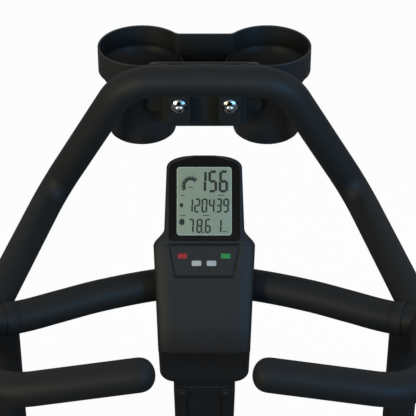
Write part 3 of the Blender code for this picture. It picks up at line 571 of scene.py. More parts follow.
def softened(profile: Profile, edge: float, closed: bool = False) -> Profile:
    """A profile whose corners are cut by a quadratic curve that starts and ends edge away from each.

    Args:
        profile: (radius, height) points.
        edge: How far the curve starts from the corner.
        closed: True where the last point joins the first.

    Returns:
        The new profile.
    """
    points = np.array(profile, float)
    out: Profile = []
    for i, corner in enumerate(points):
        if not closed and i in (0, len(points) - 1):
            out.append(tuple(corner))
            continue
        before, after = points[i - 1] - corner, points[(i + 1) % len(points)] - corner
        ends = []
        for way in (before, after):
            length = np.linalg.norm(way)
            ends.append(corner + way * min(edge, 0.45 * length) / max(length, 1e-9))
        for t in np.linspace(0.0, 1.0, 4):
            point = (1 - t) ** 2 * ends[0] + 2 * t * (1 - t) * corner + t * t * ends[1]
            out.append((float(point[0]), float(point[1])))
    return out


def button(profile: Profile, edge: float, sides: int, tip: float = 0.0) -> Array:
    """Rings of a round head: the softened profile without its two ends on the axis, spun about Z.

    Args:
        profile: (radius, height) points from the axis, out and back to the axis.
        edge: How far each corner is softened.
        sides: The number of sides.
        tip: The radius of one more ring at the last point's height, or zero for none.

    Returns:
        The rings.
    """
    points = softened(profile, edge)[1:-1]
    if tip:
        points.append((tip, profile[-1][1]))
    return lathe(points, sides)


def placing(origin: Array, up: Array, across: Array = X) -> Array:
    """A placement whose Z is up and whose X is as near across as it can be.

    Args:
        origin: Where the local zero goes.
        up: Where local Z points.
        across: Where local X points, as near as it can be.

    Returns:
        A 4 by 4 placement.
    """
    up = up / np.linalg.norm(up)
    side = across - up * (across @ up)
    if np.linalg.norm(side) < 1e-6:
        side = Y - up * (Y @ up)
    side = side / np.linalg.norm(side)
    turn = np.eye(4)
    turn[:3, 0], turn[:3, 1], turn[:3, 2], turn[:3, 3] = side, np.cross(up, side), up, origin
    return turn


def filleted(corners: Array, radii: tuple[float, ...], turn_step: float = 0.06,
             run_step: float = 0.012) -> Array:
    """A path of straight runs joined by arcs.

    The arc at a corner has its centre on the line that halves the angle, radius divided by the cosine of
    half the turn away, and starts radius times the tangent of half the turn from the corner.

    Args:
        corners: The path's corners with its two ends.
        radii: The radius at each inner corner.
        turn_step: The largest turn between two points of an arc.
        run_step: The largest distance between two points.

    Returns:
        The path's points.
    """
    path = [corners[:1]]
    for before, corner, after, radius in zip(corners, corners[1:], corners[2:], radii):
        back = (before - corner) / np.linalg.norm(before - corner)
        on = (after - corner) / np.linalg.norm(after - corner)
        turn = math.pi - math.acos(float(np.clip(back @ on, -1, 1)))
        middle = (back + on) / np.linalg.norm(back + on)
        centre = corner + middle * radius / math.cos(turn / 2)
        arm = corner + back * radius * math.tan(turn / 2) - centre
        axis = np.cross(arm, corner + on * radius * math.tan(turn / 2) - centre)
        axis /= np.linalg.norm(axis)
        angle = np.linspace(0.0, turn, max(3, math.ceil(turn / turn_step)))[:, None]
        path.append(centre + arm * np.cos(angle) + np.cross(axis, arm) * np.sin(angle))
    path.append(corners[-1:])
    points = np.concatenate(path)
    length = np.concatenate([[0.0], np.cumsum(np.linalg.norm(np.diff(points, axis=0), axis=1))])
    even = np.unique(np.concatenate([length, np.arange(0.0, length[-1], run_step)]))
    even = even[np.concatenate([[True], np.diff(even) > 1e-5])]
    return np.stack([np.interp(even, length, points[:, k]) for k in range(3)], -1)


def pipe(path: Array, radius: float, sides: int = 40, dome: float = 0.0) -> Array:
    """Rings of a round bar along a path.

    Each ring's first arm is the one before it with the part along the new tangent taken off. With a dome,
    each end's rings shrink as the square root of one minus the square of the distance past the end.

    Args:
        path: The middle line.
        radius: The bar's radius.
        sides: The number of sides.
        dome: How far each end's dome stands out, or zero for flat ends.

    Returns:
        The rings.
    """
    radii = np.full(len(path), radius)
    if dome:
        t = np.sin(np.linspace(0.0, math.pi / 2, 9))[1:]
        shrink = radius * np.sqrt(np.maximum(1 - t ** 2.6, 0.0004))
        for end, inner in ((0, 1), (-1, -2)):
            way = path[end] - path[inner]
            cap = path[end] + np.outer(t * dome, way / np.linalg.norm(way))
            path = np.vstack([cap[::-1], path]) if end == 0 else np.vstack([path, cap])
            radii = np.concatenate([shrink[::-1], radii]) if end == 0 else np.concatenate([radii, shrink])
    tangent = np.gradient(path, axis=0)
    tangent /= np.linalg.norm(tangent, axis=1, keepdims=True)
    arm = np.cross(tangent[0], (0.31, 0.52, 0.80))
    arms = []
    for way in tangent:
        arm = arm - way * (arm @ way)
        arm = arm / np.linalg.norm(arm)
        arms.append(arm)
    first = np.array(arms)
    second = np.cross(tangent, first)
    angle = np.linspace(0.0, 2 * math.pi, sides, endpoint=False)
    ring = first[:, None] * np.cos(angle)[None, :, None] + second[:, None] * np.sin(angle)[None, :, None]
    return path[:, None] + ring * radii[:, None, None]


def refine(node: str, bevel: float = 0.0006, look: str | None = None) -> bpy.types.Object:
    """A smooth copy of a CAD node: its points merged, its edges rounded and its round faces shaded smooth.

    Args:
        node: The CAD node.
        bevel: The rounding's width, or zero for none.
        look: The finish, or None for the node's own slot.

    Returns:
        The piece that stands for the node.
    """
    source = frame["nodes"][node]
    shape = bmesh.new()
    shape.from_mesh(source.data)
    bmesh.ops.remove_doubles(shape, verts=shape.verts, dist=1e-6)
    bmesh.ops.dissolve_limit(shape, angle_limit=math.radians(0.5), verts=shape.verts, edges=shape.edges)
    mesh = bpy.data.meshes.new(node + "_shell")
    shape.to_mesh(mesh)
    shape.free()
    mesh.polygons.foreach_set("use_smooth", np.ones(len(mesh.polygons), bool))
    mesh.set_sharp_from_angle(angle=math.radians(34.0))
    piece = add_object(node + "_shell", mesh)
    if bevel:
        rounding = piece.modifiers.new("rounding", "BEVEL")
        rounding.width = bevel
        rounding.segments = 2
        rounding.limit_method = "ANGLE"
        rounding.angle_limit = math.radians(40.0)
        rounding.harden_normals = False
    return fix(piece, look or SLOT_OF[node], BODY_OF[node], (node,))


def corner_boxes(node: str) -> tuple[Array, Array]:
    """A CAD node's lowest and highest corners as arrays."""
    low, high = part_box(node)
    return np.array(low), np.array(high)


def middle(node: str) -> Array:
    """The centre of a CAD node's box."""
    low, high = corner_boxes(node)
    return (low + high) / 2


def mirrored(right: Array) -> Array:
    """A path whose left half is the mirror image of its right half, which starts in the middle."""
    return np.vstack([(right * (-1, 1, 1))[:0:-1], right])


# ------------------------------------------------------------------ handlebar

@dataclass
class Handlebar:
    """The looped bar, cross bar and hoop in their soft coat, with the stem and the bottle cups' fixings."""

    radius: float = 0.0175
    top: tuple[float, float] = (0.086, 0.202)
    tab_x: float = 0.028
    tab_size: tuple[float, float, float] = (0.0246, 0.003, 0.062)
    centre: Array = field(default_factory=lambda: np.zeros(3))

    def __post_init__(self) -> None:
        """Finds the middle of the cross bar from its CAD box."""
        low, high = corner_boxes("cross_bar")
        self.centre = np.array((0.0, high[1] - self.radius, low[2] + self.radius))

    def at(self, *points: tuple[float, float, float]) -> Array:
        """Points given in millimetres from the middle of the cross bar."""
        return self.centre + np.array(points) / 1000.0

    def loop_path(self) -> Array:
        """The whole looped bar: the right half and its mirror image, from one near grip's end to the other's.

        Returns:
            The path's points.
        """
        corners = self.at((0, 86, 202), (85, 83, 202), (174, 122, 38), (231, -82, 5), (237, -210.5, 9),
                          (66, -209, 36))
        return mirrored(filleted(corners, (0.050, 0.036, 0.120, 0.066), run_step=0.006))

    def cross_path(self) -> Array:
        """The cross bar, bent back towards the rider on both sides, on a smooth curve through its points.

        Returns:
            The path's points.
        """
        knots = self.at((0, 0, 0), (59, -12, 0), (113, -30, 0), (155, -49, 0), (191, -67, 1), (226, -83, 5))
        return smooth_path(mirrored(knots), 120)

    def build(self) -> None:
        """Makes the bars, the tabs with their rounded feet, the stem cover and the post."""
        shape = Shape("looped_bar").grid(pipe(self.loop_path(), self.radius, 48, 0.0185))
        width, thick, height = self.tab_size
        for side in (-1, 1):
            tab = slab(rounded(width, height + 0.012, 0.0075), 0.0, thick, 0.0009)
            origin = self.centre + (side * self.tab_x, self.top[0] + 0.018, 0.136 + (height + 0.012) / 2)
            shape.grid(tab, turn=placing(origin, -Y))
        shape.finish("grip_coat", "handlebar", ("loop_bar",))
        Shape("cross_bar_coated").grid(pipe(self.cross_path(), self.radius, 48)).finish(
            "grip_coat", "handlebar", ("cross_bar",))
        corners = self.at((-215, -75, -2), (-215, -75, -196), (215, -75, -196), (215, -75, -2))
        hoop = pipe(filleted(corners, (0.060, 0.060)), self.radius)
        Shape("hoop_coated").grid(hoop).finish("grip_coat", "handlebar", ("support_hoop",))
        self.weld_beads()
        refine("handlebar_post", 0.0)
        self.stem()

    def weld_beads(self) -> None:
        """A soft collar where the cross bar meets each side of the loop."""
        path = self.cross_path()
        profile = [(0.0, -0.010), (self.radius + 0.0002, -0.010), (self.radius + 0.0016, -0.003),
                   (self.radius + 0.0022, 0.006), (0.0, 0.006)]
        shape = Shape("cross_bar_collars")
        for end, inner in ((2, 9), (-3, -10)):
            way = path[end] - path[inner]
            place = placing(path[end] - way / np.linalg.norm(way) * 0.013, way)
            shape.grid(button(profile, 0.002, 48), turn=place)
        shape.finish("grip_coat", "handlebar")

    def stem(self) -> None:
        """The moulded stem cover: a rounded neck with a sunk front panel under a ledge with two screw bosses.

        The front face moves back by the panel's depth wherever a point lies inside it, with a straight
        slope at each edge.
        """
        low, high = corner_boxes("stem_cover")
        size = high - low
        centre = (low + high) / 2
        height = np.unique(np.concatenate([np.linspace(0.0, 1.0, 60), np.linspace(0.36, 0.62, 60)]))
        u = np.linspace(-1.0, 1.0, 121)
        half, deep, corner = size[0] / 2 + 0.0015, size[1] / 2, 0.012
        across = half * u
        turn = np.clip((np.abs(across) - half + corner) / corner, 0.0, 1.0)
        drop = corner * (1 - np.sqrt(1 - turn ** 2))
        front = np.column_stack([across, -deep + drop])
        back = np.column_stack([across, deep - drop])[::-1]
        ring = np.vstack([front, back])
        facing = np.arange(len(ring)) < len(front)
        z = (height * size[2])[:, None]
        ledge = size[2] * 0.435
        distance = np.maximum(np.abs(ring[None, :, 0]) - 0.0205, z - ledge)
        sunk = 0.0035 * np.clip(-distance / 0.002, 0.0, 1.0)
        line = 0.0012 * np.exp(-((z - ledge - 0.010) / 0.0011) ** 2) * (np.abs(ring[None, :, 0]) < 0.027)
        rings = np.zeros((len(height), len(ring), 3))
        rings[..., 0] = ring[:, 0]
        rings[..., 1] = ring[:, 1] + facing * (sunk + line)
        narrow = 1.0 - 0.04 * np.clip(1 - height / 0.4, 0.0, 1.0) - 0.05 * (height > 0.985)
        rings[..., :2] *= narrow[:, None, None]
        rings[..., 2] = z - size[2] / 2
        Shape("stem_cover_moulded").grid(rings + centre).finish("cover_plastic", "handlebar", ("stem_cover",))
        bosses, screws = Shape("stem_bosses"), Shape("stem_screws")
        for side in (-1, 1):
            spot = np.array((side * 0.0238, low[1] + 0.0012, low[2] + ledge + 0.001))
            bosses.grid(button(STEM_BOSS, 0.0016, 40, 0.0004), turn=placing(spot, -Y))
            screws.grid(button(STEM_SCREW, 0.0006, 24, 0.0004), turn=placing(spot, -Y))
        bosses.finish("cover_plastic", "handlebar")
        screws.finish("crank_steel", "handlebar")


def smooth_path(knots: Array, count: int) -> Array:
    """Points on a Catmull-Rom curve through the knots.

    Between two knots each point is a cubic blend of the four nearest knots.

    Args:
        knots: The points to pass through.
        count: The number of points to make.

    Returns:
        The curve's points.
    """
    padded = np.vstack([2 * knots[0] - knots[1], knots, 2 * knots[-1] - knots[-2]])
    t = np.linspace(0.0, len(knots) - 1 - 1e-9, count)
    i = t.astype(int)
    u = (t - i)[:, None]
    a, b, c, d = (padded[i + k] for k in range(4))
    square, cube = 2 * a - 5 * b + 4 * c - d, 3 * b - a - 3 * c + d
    return 0.5 * (2 * b + (c - a) * u + square * u ** 2 + cube * u ** 3)


@dataclass
class CupHolder:
    """Two cups in one moulding, joined by an open tray, with two acorn nuts."""

    bar: Handlebar
    cup_x: float = 0.0716
    cup_y: float = 0.176
    rim_z: float = 0.198
    rim_radius: float = 0.0488
    body_radius: float = 0.0384
    depth: float = 0.110
    band: float = 0.030
    wall: float = 0.0024
    tray_front: float = 0.1325
    tray_back: float = 0.2043
    nut_flat: float = 0.0064

    def band_outline(self, grow: float) -> Array:
        """The tray's plan: two circles joined by straight walls, with soft corners where they meet.

        The plan is the larger of the circles' and the tray's half depths at each place along it. Each
        wall's distance from the middle line is the square root of the radius squared less the distance
        from the cup's centre squared, blended with the tray's wall by a smooth maximum.

        Args:
            grow: How far the outline is moved outwards.

        Returns:
            The outline's points.
        """
        radius = self.rim_radius + grow
        angle = np.linspace(0.0, math.pi, 120)
        x = (self.cup_x + radius) * np.cos(angle)
        off = np.abs(x) - self.cup_x
        circle = np.sqrt(np.maximum(radius ** 2 - off ** 2, 0.0))
        soft = 0.0016
        walls = []
        for wall_y in (self.tray_back + grow - self.cup_y, self.cup_y - self.tray_front + grow):
            inside = np.abs(x) < self.cup_x
            tray = np.where(inside, wall_y, 0.0)
            blended = soft * np.logaddexp(circle / soft, tray / soft)
            walls.append(np.where(inside, blended, circle))
        upper = np.column_stack([x, self.cup_y + walls[0]])
        lower = np.column_stack([x, self.cup_y - walls[1]])[::-1]
        return np.vstack([upper, lower[1:-1]])

    def build(self) -> None:
        """Makes the moulding and the nuts."""
        shape = Shape("cup_holder_moulding")
        top, low = self.rim_z, self.rim_z - self.band
        wall = self.wall
        levels = [(0.0, low), (0.0, low + 0.004), (0.0, top - 0.0012), (-0.0006, top - 0.0003),
                  (-0.0012, top), (-wall + 0.0006, top - 0.0003), (-wall, top - 0.0012), (-wall, low + wall)]
        rings = [at_height(self.band_outline(grow), z) for grow, z in levels]
        shape.grid(np.stack(rings) + self.bar.centre, closed=True)
        for side in (-1, 1):
            place = placing(self.bar.centre + (side * self.cup_x, self.cup_y, 0.0), Z)
            shape.grid(lathe(self.cup_profile(), 96), closed=True, turn=place)
            shape.grid(lathe(self.base_profile(), 96), turn=place)
        self.bracket(shape)
        shape.finish("cup_plastic", "handlebar", ("cup_holder",))
        for side, name in ((-1, "left"), (1, "right")):
            self.nut(name, self.bar.centre + (side * self.bar.tab_x, self.bar.top[0] + 0.0148, 0.162))

    def cup_profile(self) -> Profile:
        """The wall of the cone and the lower cup, as (radius, height) points round a thin section.

        Returns:
            The profile's points.
        """
        low, band = self.rim_z - self.depth, self.rim_z - self.band
        rim, body, wall = self.rim_radius, self.body_radius, self.wall
        return [(body, low + 0.004), (body, band - 0.018), (body + 0.0005, band - 0.0155),
                (rim - 0.0016, band - 0.0012), (rim - 0.0006, band + 0.0014), (rim - 0.0006, band + 0.006),
                (rim - wall + 0.0002, band + 0.006), (rim - wall - 0.0006, band + 0.0016),
                (body - wall + 0.0006, band - 0.0135), (body - wall, band - 0.016),
                (body - wall, low + 0.004)]

    def base_profile(self) -> Profile:
        """The cup's floor, with a rounded outer edge.

        Returns:
            The profile's points.
        """
        low = self.rim_z - self.depth
        r = self.body_radius
        return [(0.004, low + 0.002), (r - 0.009, low + 0.002), (r - 0.008, low + 0.0003), (r - 0.005, low),
                (r - 0.0025, low + 0.0007), (r - 0.0006, low + 0.0024), (r, low + 0.005),
                (r - 0.002, low + 0.0053), (r - 0.0035, low + 0.0048), (0.004, low + 0.0046)]

    def bracket(self, shape: Shape) -> None:
        """The front of the bridge: a raised panel with rounded lower corners and a flange on each side.

        Args:
            shape: The moulding that the pieces are added to.
        """
        half = self.cup_x - self.rim_radius + 0.004
        depth, tray_y = self.tray_back - self.tray_front, (self.tray_back + self.tray_front) / 2
        plates = [(0.093, 0.072, 0.006, 0.0, 0.016, 0.0022, (0.0, 0.1340, 0.161), -Y),
                  (0.128, 0.058, 0.008, 0.0, 0.012, 0.002, (0.0, 0.1385, 0.168), -Y),
                  (2 * half, depth, 0.002, 0.0, 0.0030, 0.0008, (0.0, tray_y, 0.1352), Z)]
        plates += [(2 * half + 0.004, 0.036, 0.002, -0.0009, 0.0009, 0.0006, (0.0, y, 0.1526), -Y)
                   for y in (self.tray_back - 0.0010, self.tray_front + 0.0010)]
        for width, height, radius, low, high, edge, place, up in plates:
            plate = slab(rounded(width, height, radius), low, high, edge)
            shape.grid(plate, turn=placing(self.bar.centre + place, up))

    def nut(self, side: str, origin: Array) -> None:
        """A domed nut with a hexagon, on a washer.

        The hexagon's radius at an angle is its half width over the cosine of the angle from the nearest
        flat.

        Args:
            side: left or right.
            origin: The middle of the washer's lower face.
        """
        shape = Shape("acorn_nut_" + side)
        shape.grid(lathe(softened(WASHER, 0.0004), 48), turn=placing(origin, -Y))
        angle = np.linspace(0.0, 2 * math.pi, 72, endpoint=False)
        circle = np.column_stack([np.cos(angle), np.sin(angle)])
        hexagon = self.nut_flat / np.cos((angle + math.pi / 6) % (math.pi / 3) - math.pi / 6)
        rows = []
        for height, cap in ((0.0013, 1.0), (0.0017, 1.03), (0.0040, 1.03), (0.0046, 0.97)):
            rows.append(at_height(circle * (np.minimum(hexagon, 0.0072) * cap)[:, None], height))
        for tilt in np.linspace(0.0, math.pi / 2 - 0.05, 9):
            radius, height = self.nut_flat * math.cos(tilt), 0.0050 + 0.0052 * math.sin(tilt)
            rows.append(at_height(circle * radius, height))
        shape.grid(np.stack(rows), turn=placing(origin, -Y))
        shape.finish("chrome", "handlebar", ("cup_nut_" + side,))


# ------------------------------------------------------------------ console

SEGMENTS = {"0": "abcdef", "1": "bc", "2": "abged", "3": "abgcd", "4": "fgbc", "5": "afgcd", "6": "afgedc",
            "7": "abc", "8": "abcdefg", "9": "abcdfg"}
# Each segment's side, level and whether it stands upright
BARS = {"a": (0, 1, 0), "b": (1, 0.5, 1), "c": (1, -0.5, 1), "d": (0, -1, 0), "e": (-1, -0.5, 1),
        "f": (-1, 0.5, 1), "g": (0, 0, 0)}
# Places on the panel are metres from its middle, across and up
# Each row of figures: its digits, the first one's place across, the pitch, the place up and the height
FIGURES = (("156", -0.0026, 0.0117, 0.0213, 0.0240), ("120439", -0.0152, 0.0077, -0.0048, 0.0154),
           ("786", -0.0143, 0.0091, -0.0268, 0.0154), ("1", 0.0155, 0.0, -0.0268, 0.0154))
# Each flat mark's place and its size across and up; the first is the decimal point
DASHES = ((-0.0012, -0.0340, 0.0017, 0.0017), (-0.0235, 0.0062, 0.0040, 0.0008),
          (0.0180, 0.0062, 0.0070, 0.0008), (-0.0230, -0.0155, 0.0060, 0.0008),
          (0.0020, -0.0155, 0.0070, 0.0008), (-0.0150, 0.0150, 0.0060, 0.0008),
          (0.0220, -0.0330, 0.0050, 0.0008))
# Each round mark's place and radius
DOTS = ((-0.0245, -0.0045, 0.0019), (-0.0240, -0.0225, 0.0028))
# Each arc's first and last angle and count, its half sizes, and a mark's size
GAUGE_ARCS = (((205.0, 50.0, 12), (0.0078, 0.0082), (0.0044, 0.0017)),
              ((200.0, 60.0, 8), (0.0122, 0.0126), (0.0012, 0.0006)))
# Each key's place across and up the face
KEY_PLACES = (("key_start", 0.0229, 0.031), ("key_reset", -0.0232, 0.031),
              ("key_down", -0.0083, 0.0232), ("key_up", 0.0078, 0.0232))


@dataclass
class Console:
    """The battery console: a matt shell that slopes up its face, a gloss display and four keys."""

    bar: Handlebar
    slope: float = math.radians(50.0)
    face_zero: tuple[float, float, float] = (0.0, -0.046, 0.026)
    top: float = 0.140
    bottom: float = -0.0705
    depth: float = 0.012
    chin: float = 0.0495
    window: float = 0.0900
    ink: tuple[float, float, float] = (0.0024, 0.0026, 0.00005)

    def turn(self, x: float, s: float, out: float = 0.0) -> Array:
        """A placement on the face: X across, Y up the slope, Z out towards the rider.

        Args:
            x: The place across the face.
            s: The place up the face.
            out: The height above it.

        Returns:
            A 4 by 4 placement.
        """
        up = np.array((0.0, math.cos(self.slope), math.sin(self.slope)))
        placed = np.eye(4)
        placed[:3, 0], placed[:3, 1], placed[:3, 2] = X, up, np.cross(X, up)
        placed[:3, 3] = self.bar.centre + self.face_zero + up * s + X * x + np.cross(X, up) * out
        return placed

    def half_width(self, s: Array) -> Array:
        """Half the width at s up the face.

        Below the display it tapers from wide to narrow in a straight line; between the keys and the
        display a cubic step takes it in; and near the top it follows a quarter of a superellipse.

        Args:
            s: Places up the face.

        Returns:
            Half the width at each.
        """
        taper = 0.0492 + 0.0054 * (s - self.bottom) / (0.040 - self.bottom)
        blend = np.clip((s - 0.0425) / 0.0180, 0.0, 1.0)
        upper = 0.0410 + 0.0024 * np.clip((0.125 - s) / 0.070, 0.0, 1.0)
        width = taper + (upper - taper) * blend * blend * (3 - 2 * blend)
        t = np.clip((s - (self.top - 0.014)) / 0.014, 0.0, 1.0)
        return width - 0.026 * (1.0 - np.sqrt(np.maximum(1.0 - t ** 2.4, 0.0)))

    def build(self) -> None:
        """Makes the shells, the display and the keys."""
        self.shell()
        refine("console_back", 0.0010)
        refine("circuit_board", 0.0)
        self.display()
        self.keys()

    def section(self, half: float, thick: float, facet: float, round_edge: float, wide: float) -> Array:
        """One section of the shell as (across, depth) points, front row first and then the back row.

        The front falls by facet, in a straight slope, over the strip wide metres from each side, and
        every corner turns through a quarter circle of round_edge.

        Args:
            half: Half the width.
            thick: The depth from front to back.
            facet: How far the sides of the front fall.
            round_edge: The corners' radius.
            wide: The width of the falling strip.

        Returns:
            The section's points.
        """
        u = np.sin(np.linspace(-1.0, 1.0, 161) * math.pi / 2)
        across = half * np.where(np.abs(u) < 0.9, np.linspace(-1.0, 1.0, 161), u)
        from_side = half - np.abs(across)
        slope = facet * np.clip(1.0 - from_side / wide, 0.0, 1.0)
        turn = np.clip(1.0 - from_side / round_edge, 0.0, 1.0)
        drop = round_edge * (1.0 - np.sqrt(1.0 - np.minimum(turn, 1.0) ** 2))
        front = np.column_stack([across, -slope - drop])
        back = np.column_stack([across, -thick + drop])[::-1]
        return np.vstack([front, back])

    def panel_depth(self, x: Array, s: float) -> Array:
        """How far the key panel is sunk at each x, for a height s up the face.

        The distance to the panel's edge is the largest of the distances to its four straight sides. The
        floor is sunk inside it, and a narrow groove runs along it.

        Args:
            x: Places across the face.
            s: The height up the face.

        Returns:
            The depth at each place.
        """
        side = np.abs(x) - (0.0313 + (s - 0.0086) * 0.178)
        distance = np.maximum(side, np.maximum(s - 0.0437, 0.0086 - s))
        floor = np.clip(-distance / 0.0012, 0.0, 1.0)
        groove = np.exp(-((distance + 0.0002) / 0.0010) ** 2)
        return 0.0008 * floor + 0.0019 * groove

    def shell(self) -> None:
        """The front shell: bevelled sections up the face, and round the fold into the chin.

        Above the fold each section stands square to the face, and below it level. The sides draw in and the
        corners grow rounder towards the chin's lower edge.
        """
        up = np.array((0.0, math.cos(self.slope), math.sin(self.slope)))
        out = np.cross(X, up)
        origin = self.bar.centre + self.face_zero
        low_point = origin + up * self.bottom
        rings = []
        drops = np.concatenate([self.chin * np.cos(np.linspace(0.0, math.pi / 2, 14)) ** 0.5, [0.0012]])
        drops = np.unique(np.concatenate([drops[drops > 0.0012], np.linspace(0.0012, self.chin, 24)]))[::-1]
        for drop in drops:
            t = drop / self.chin
            edge = max(0.0, (t - 0.72) / 0.28)
            half = float(self.half_width(np.array(self.bottom))) * (1 - 0.03 * t)
            half -= 0.015 * (1 - math.sqrt(max(0.0, 1 - edge ** 2.0)))
            section = self.section(half, 0.0195 - 0.006 * edge, 0.0034, 0.0060, 0.0080)
            centre = low_point + (0.0, -0.0012 + 0.0040 * t + 0.004 * edge ** 2, -drop)
            flat = np.column_stack([section[:, 0], -section[:, 1], np.zeros(len(section))])
            rings.append(flat + centre)
        stations = np.unique(np.concatenate([
            np.linspace(self.bottom, 0.006, 50), np.linspace(0.006, 0.050, 74), np.linspace(0.050, 0.126, 30),
            self.top - 0.014 * (1 - np.sin(np.linspace(0.0, math.pi / 2 - 0.04, 18)))]))
        for s in stations:
            half = float(self.half_width(np.array(s)))
            section = self.section(half, self.depth, 0.0040, 0.0028, 0.0070)
            depth = section[:, 1].copy()
            front = np.arange(len(depth)) < 161
            depth -= front * self.panel_depth(section[:, 0], float(s))
            rings.append(origin + up * s + np.outer(section[:, 0], X) + np.outer(depth, out))
        shape = Shape("console_shell").grid(np.stack(rings))
        shape.finish("console_plastic", "handlebar", ("console_front",), 50.0)

    def display(self) -> None:
        """The gloss window, the pale liquid-crystal panel in it and the dark figures on the panel."""
        outline = display_outline(0.0765, 0.0475, 0.1385)
        bezel = Shape("display_bezel").grid(slab(outline, -0.0010, 0.0022, 0.0008), turn=self.turn(0.0, 0.0))
        bezel.finish("display_gloss", "handlebar", ("display_glass",))
        window = self.turn(0.0, self.window)
        rim = slab(rounded(0.0590, 0.0740, 0.0035), 0.0018, 0.00235, 0.0002)
        Shape("display_rim").grid(rim, turn=window).finish("display_rim", "handlebar")
        panel = slab(rounded(0.0568, 0.0718, 0.0028), 0.0020, 0.00250, 0.0001)
        Shape("display_panel").grid(panel, turn=window).finish("display_lcd", "handlebar")
        ink = Shape("display_figures")
        self.gauge(ink)
        for digits, start, pitch, y, height in FIGURES:
            for i, digit in enumerate(digits):
                self.digit(ink, digit, start + i * pitch, y, height)
        for x, y, width, height in DASHES:
            self.mark(ink, x, y, width, height)
        for x, y, radius in DOTS:
            ring = slab(rounded(2 * radius, 2.4 * radius, radius * 0.9, 6), *self.ink)
            ink.grid(ring, turn=self.turn(x, self.window + y))
        ink.finish("display_ink", "handlebar")

    def mark(self, ink: Shape, x: float, y: float, width: float, height: float, tilt: float = 0.0) -> None:
        """A small flat bar of ink at (x, y) from the panel's middle, turned by tilt.

        Args:
            ink: The figures' shape.
            x: The bar's place across.
            y: The bar's place up.
            width: Its size across.
            height: Its size up.
            tilt: Its turn in radians.
        """
        bar = slab(rounded(width, height, min(width, height) * 0.3, 2), *self.ink)
        local = np.eye(4)
        local[:2, :2] = [[math.cos(tilt), -math.sin(tilt)], [math.sin(tilt), math.cos(tilt)]]
        ink.grid(bar, turn=self.turn(x, self.window + y) @ local)

    def gauge(self, ink: Shape) -> None:
        """A gauge arc at the panel's upper left: thick marks along an oval, and thin ones outside them.

        Args:
            ink: The figures' shape.
        """
        for sweep, (wide, tall), size in GAUGE_ARCS:
            for angle in np.radians(np.linspace(*sweep)):
                x, y = -0.0146 + wide * math.cos(angle), 0.0165 + tall * math.sin(angle)
                self.mark(ink, x, y, *size, angle)

    def digit(self, ink: Shape, digit: str, x: float, y: float, height: float) -> None:
        """One seven-segment digit with its middle at (x, y) from the middle of the panel.

        Args:
            ink: The figures' shape.
            digit: The digit to draw.
            x: Its middle across.
            y: Its middle up.
            height: Its height.
        """
        width = height * 0.30
        thick = height * 0.115
        for key in SEGMENTS[digit]:
            side, level, upright = BARS[key]
            size = (thick, height * 0.42) if upright else (width * 0.80, thick)
            reach = (height - thick) / 2
            self.mark(ink, x + side * width / 2 + level * reach * 0.06, y + level * reach, *size)

    def keys(self) -> None:
        """Each key: a rounded cap that stands a little out of its pocket."""
        for node, x, s in KEY_PLACES:
            cap = slab(rounded(0.0104, 0.0058, 0.0014), -0.0022, 0.0004, 0.0005)
            Shape(node + "_cap").grid(cap, turn=self.turn(x, s)).finish(SLOT_OF[node], node, (node,))


def display_outline(width: float, low: float, high: float) -> Array:
    """The gloss window's plan: straight sides, small lower corners and an arched top with round shoulders.

    Args:
        width: The window's width.
        low: Its lower edge, up the face.
        high: The top of its arch, up the face.

    Returns:
        The outline's points.
    """
    half = width / 2
    shoulder = 0.010
    quarter = np.linspace(0.0, math.pi / 2, 12)
    right = np.column_stack([half - shoulder + shoulder * np.cos(quarter),
                             high - 0.0055 - shoulder + shoulder * np.sin(quarter)])
    x = np.linspace(half - shoulder, -half + shoulder, 24)[1:-1]
    arch = np.column_stack([x, high - 0.0055 * (x / (half - shoulder)) ** 2])
    left = (right * (-1, 1))[::-1]
    foot = 0.003
    low_left = np.column_stack([-half + foot - foot * np.cos(quarter), low + foot - foot * np.sin(quarter)])
    low_right = (low_left * (-1, 1))[::-1]
    return np.vstack([right, arch, left, low_left, low_right])


# ------------------------------------------------------------------ drive and frame

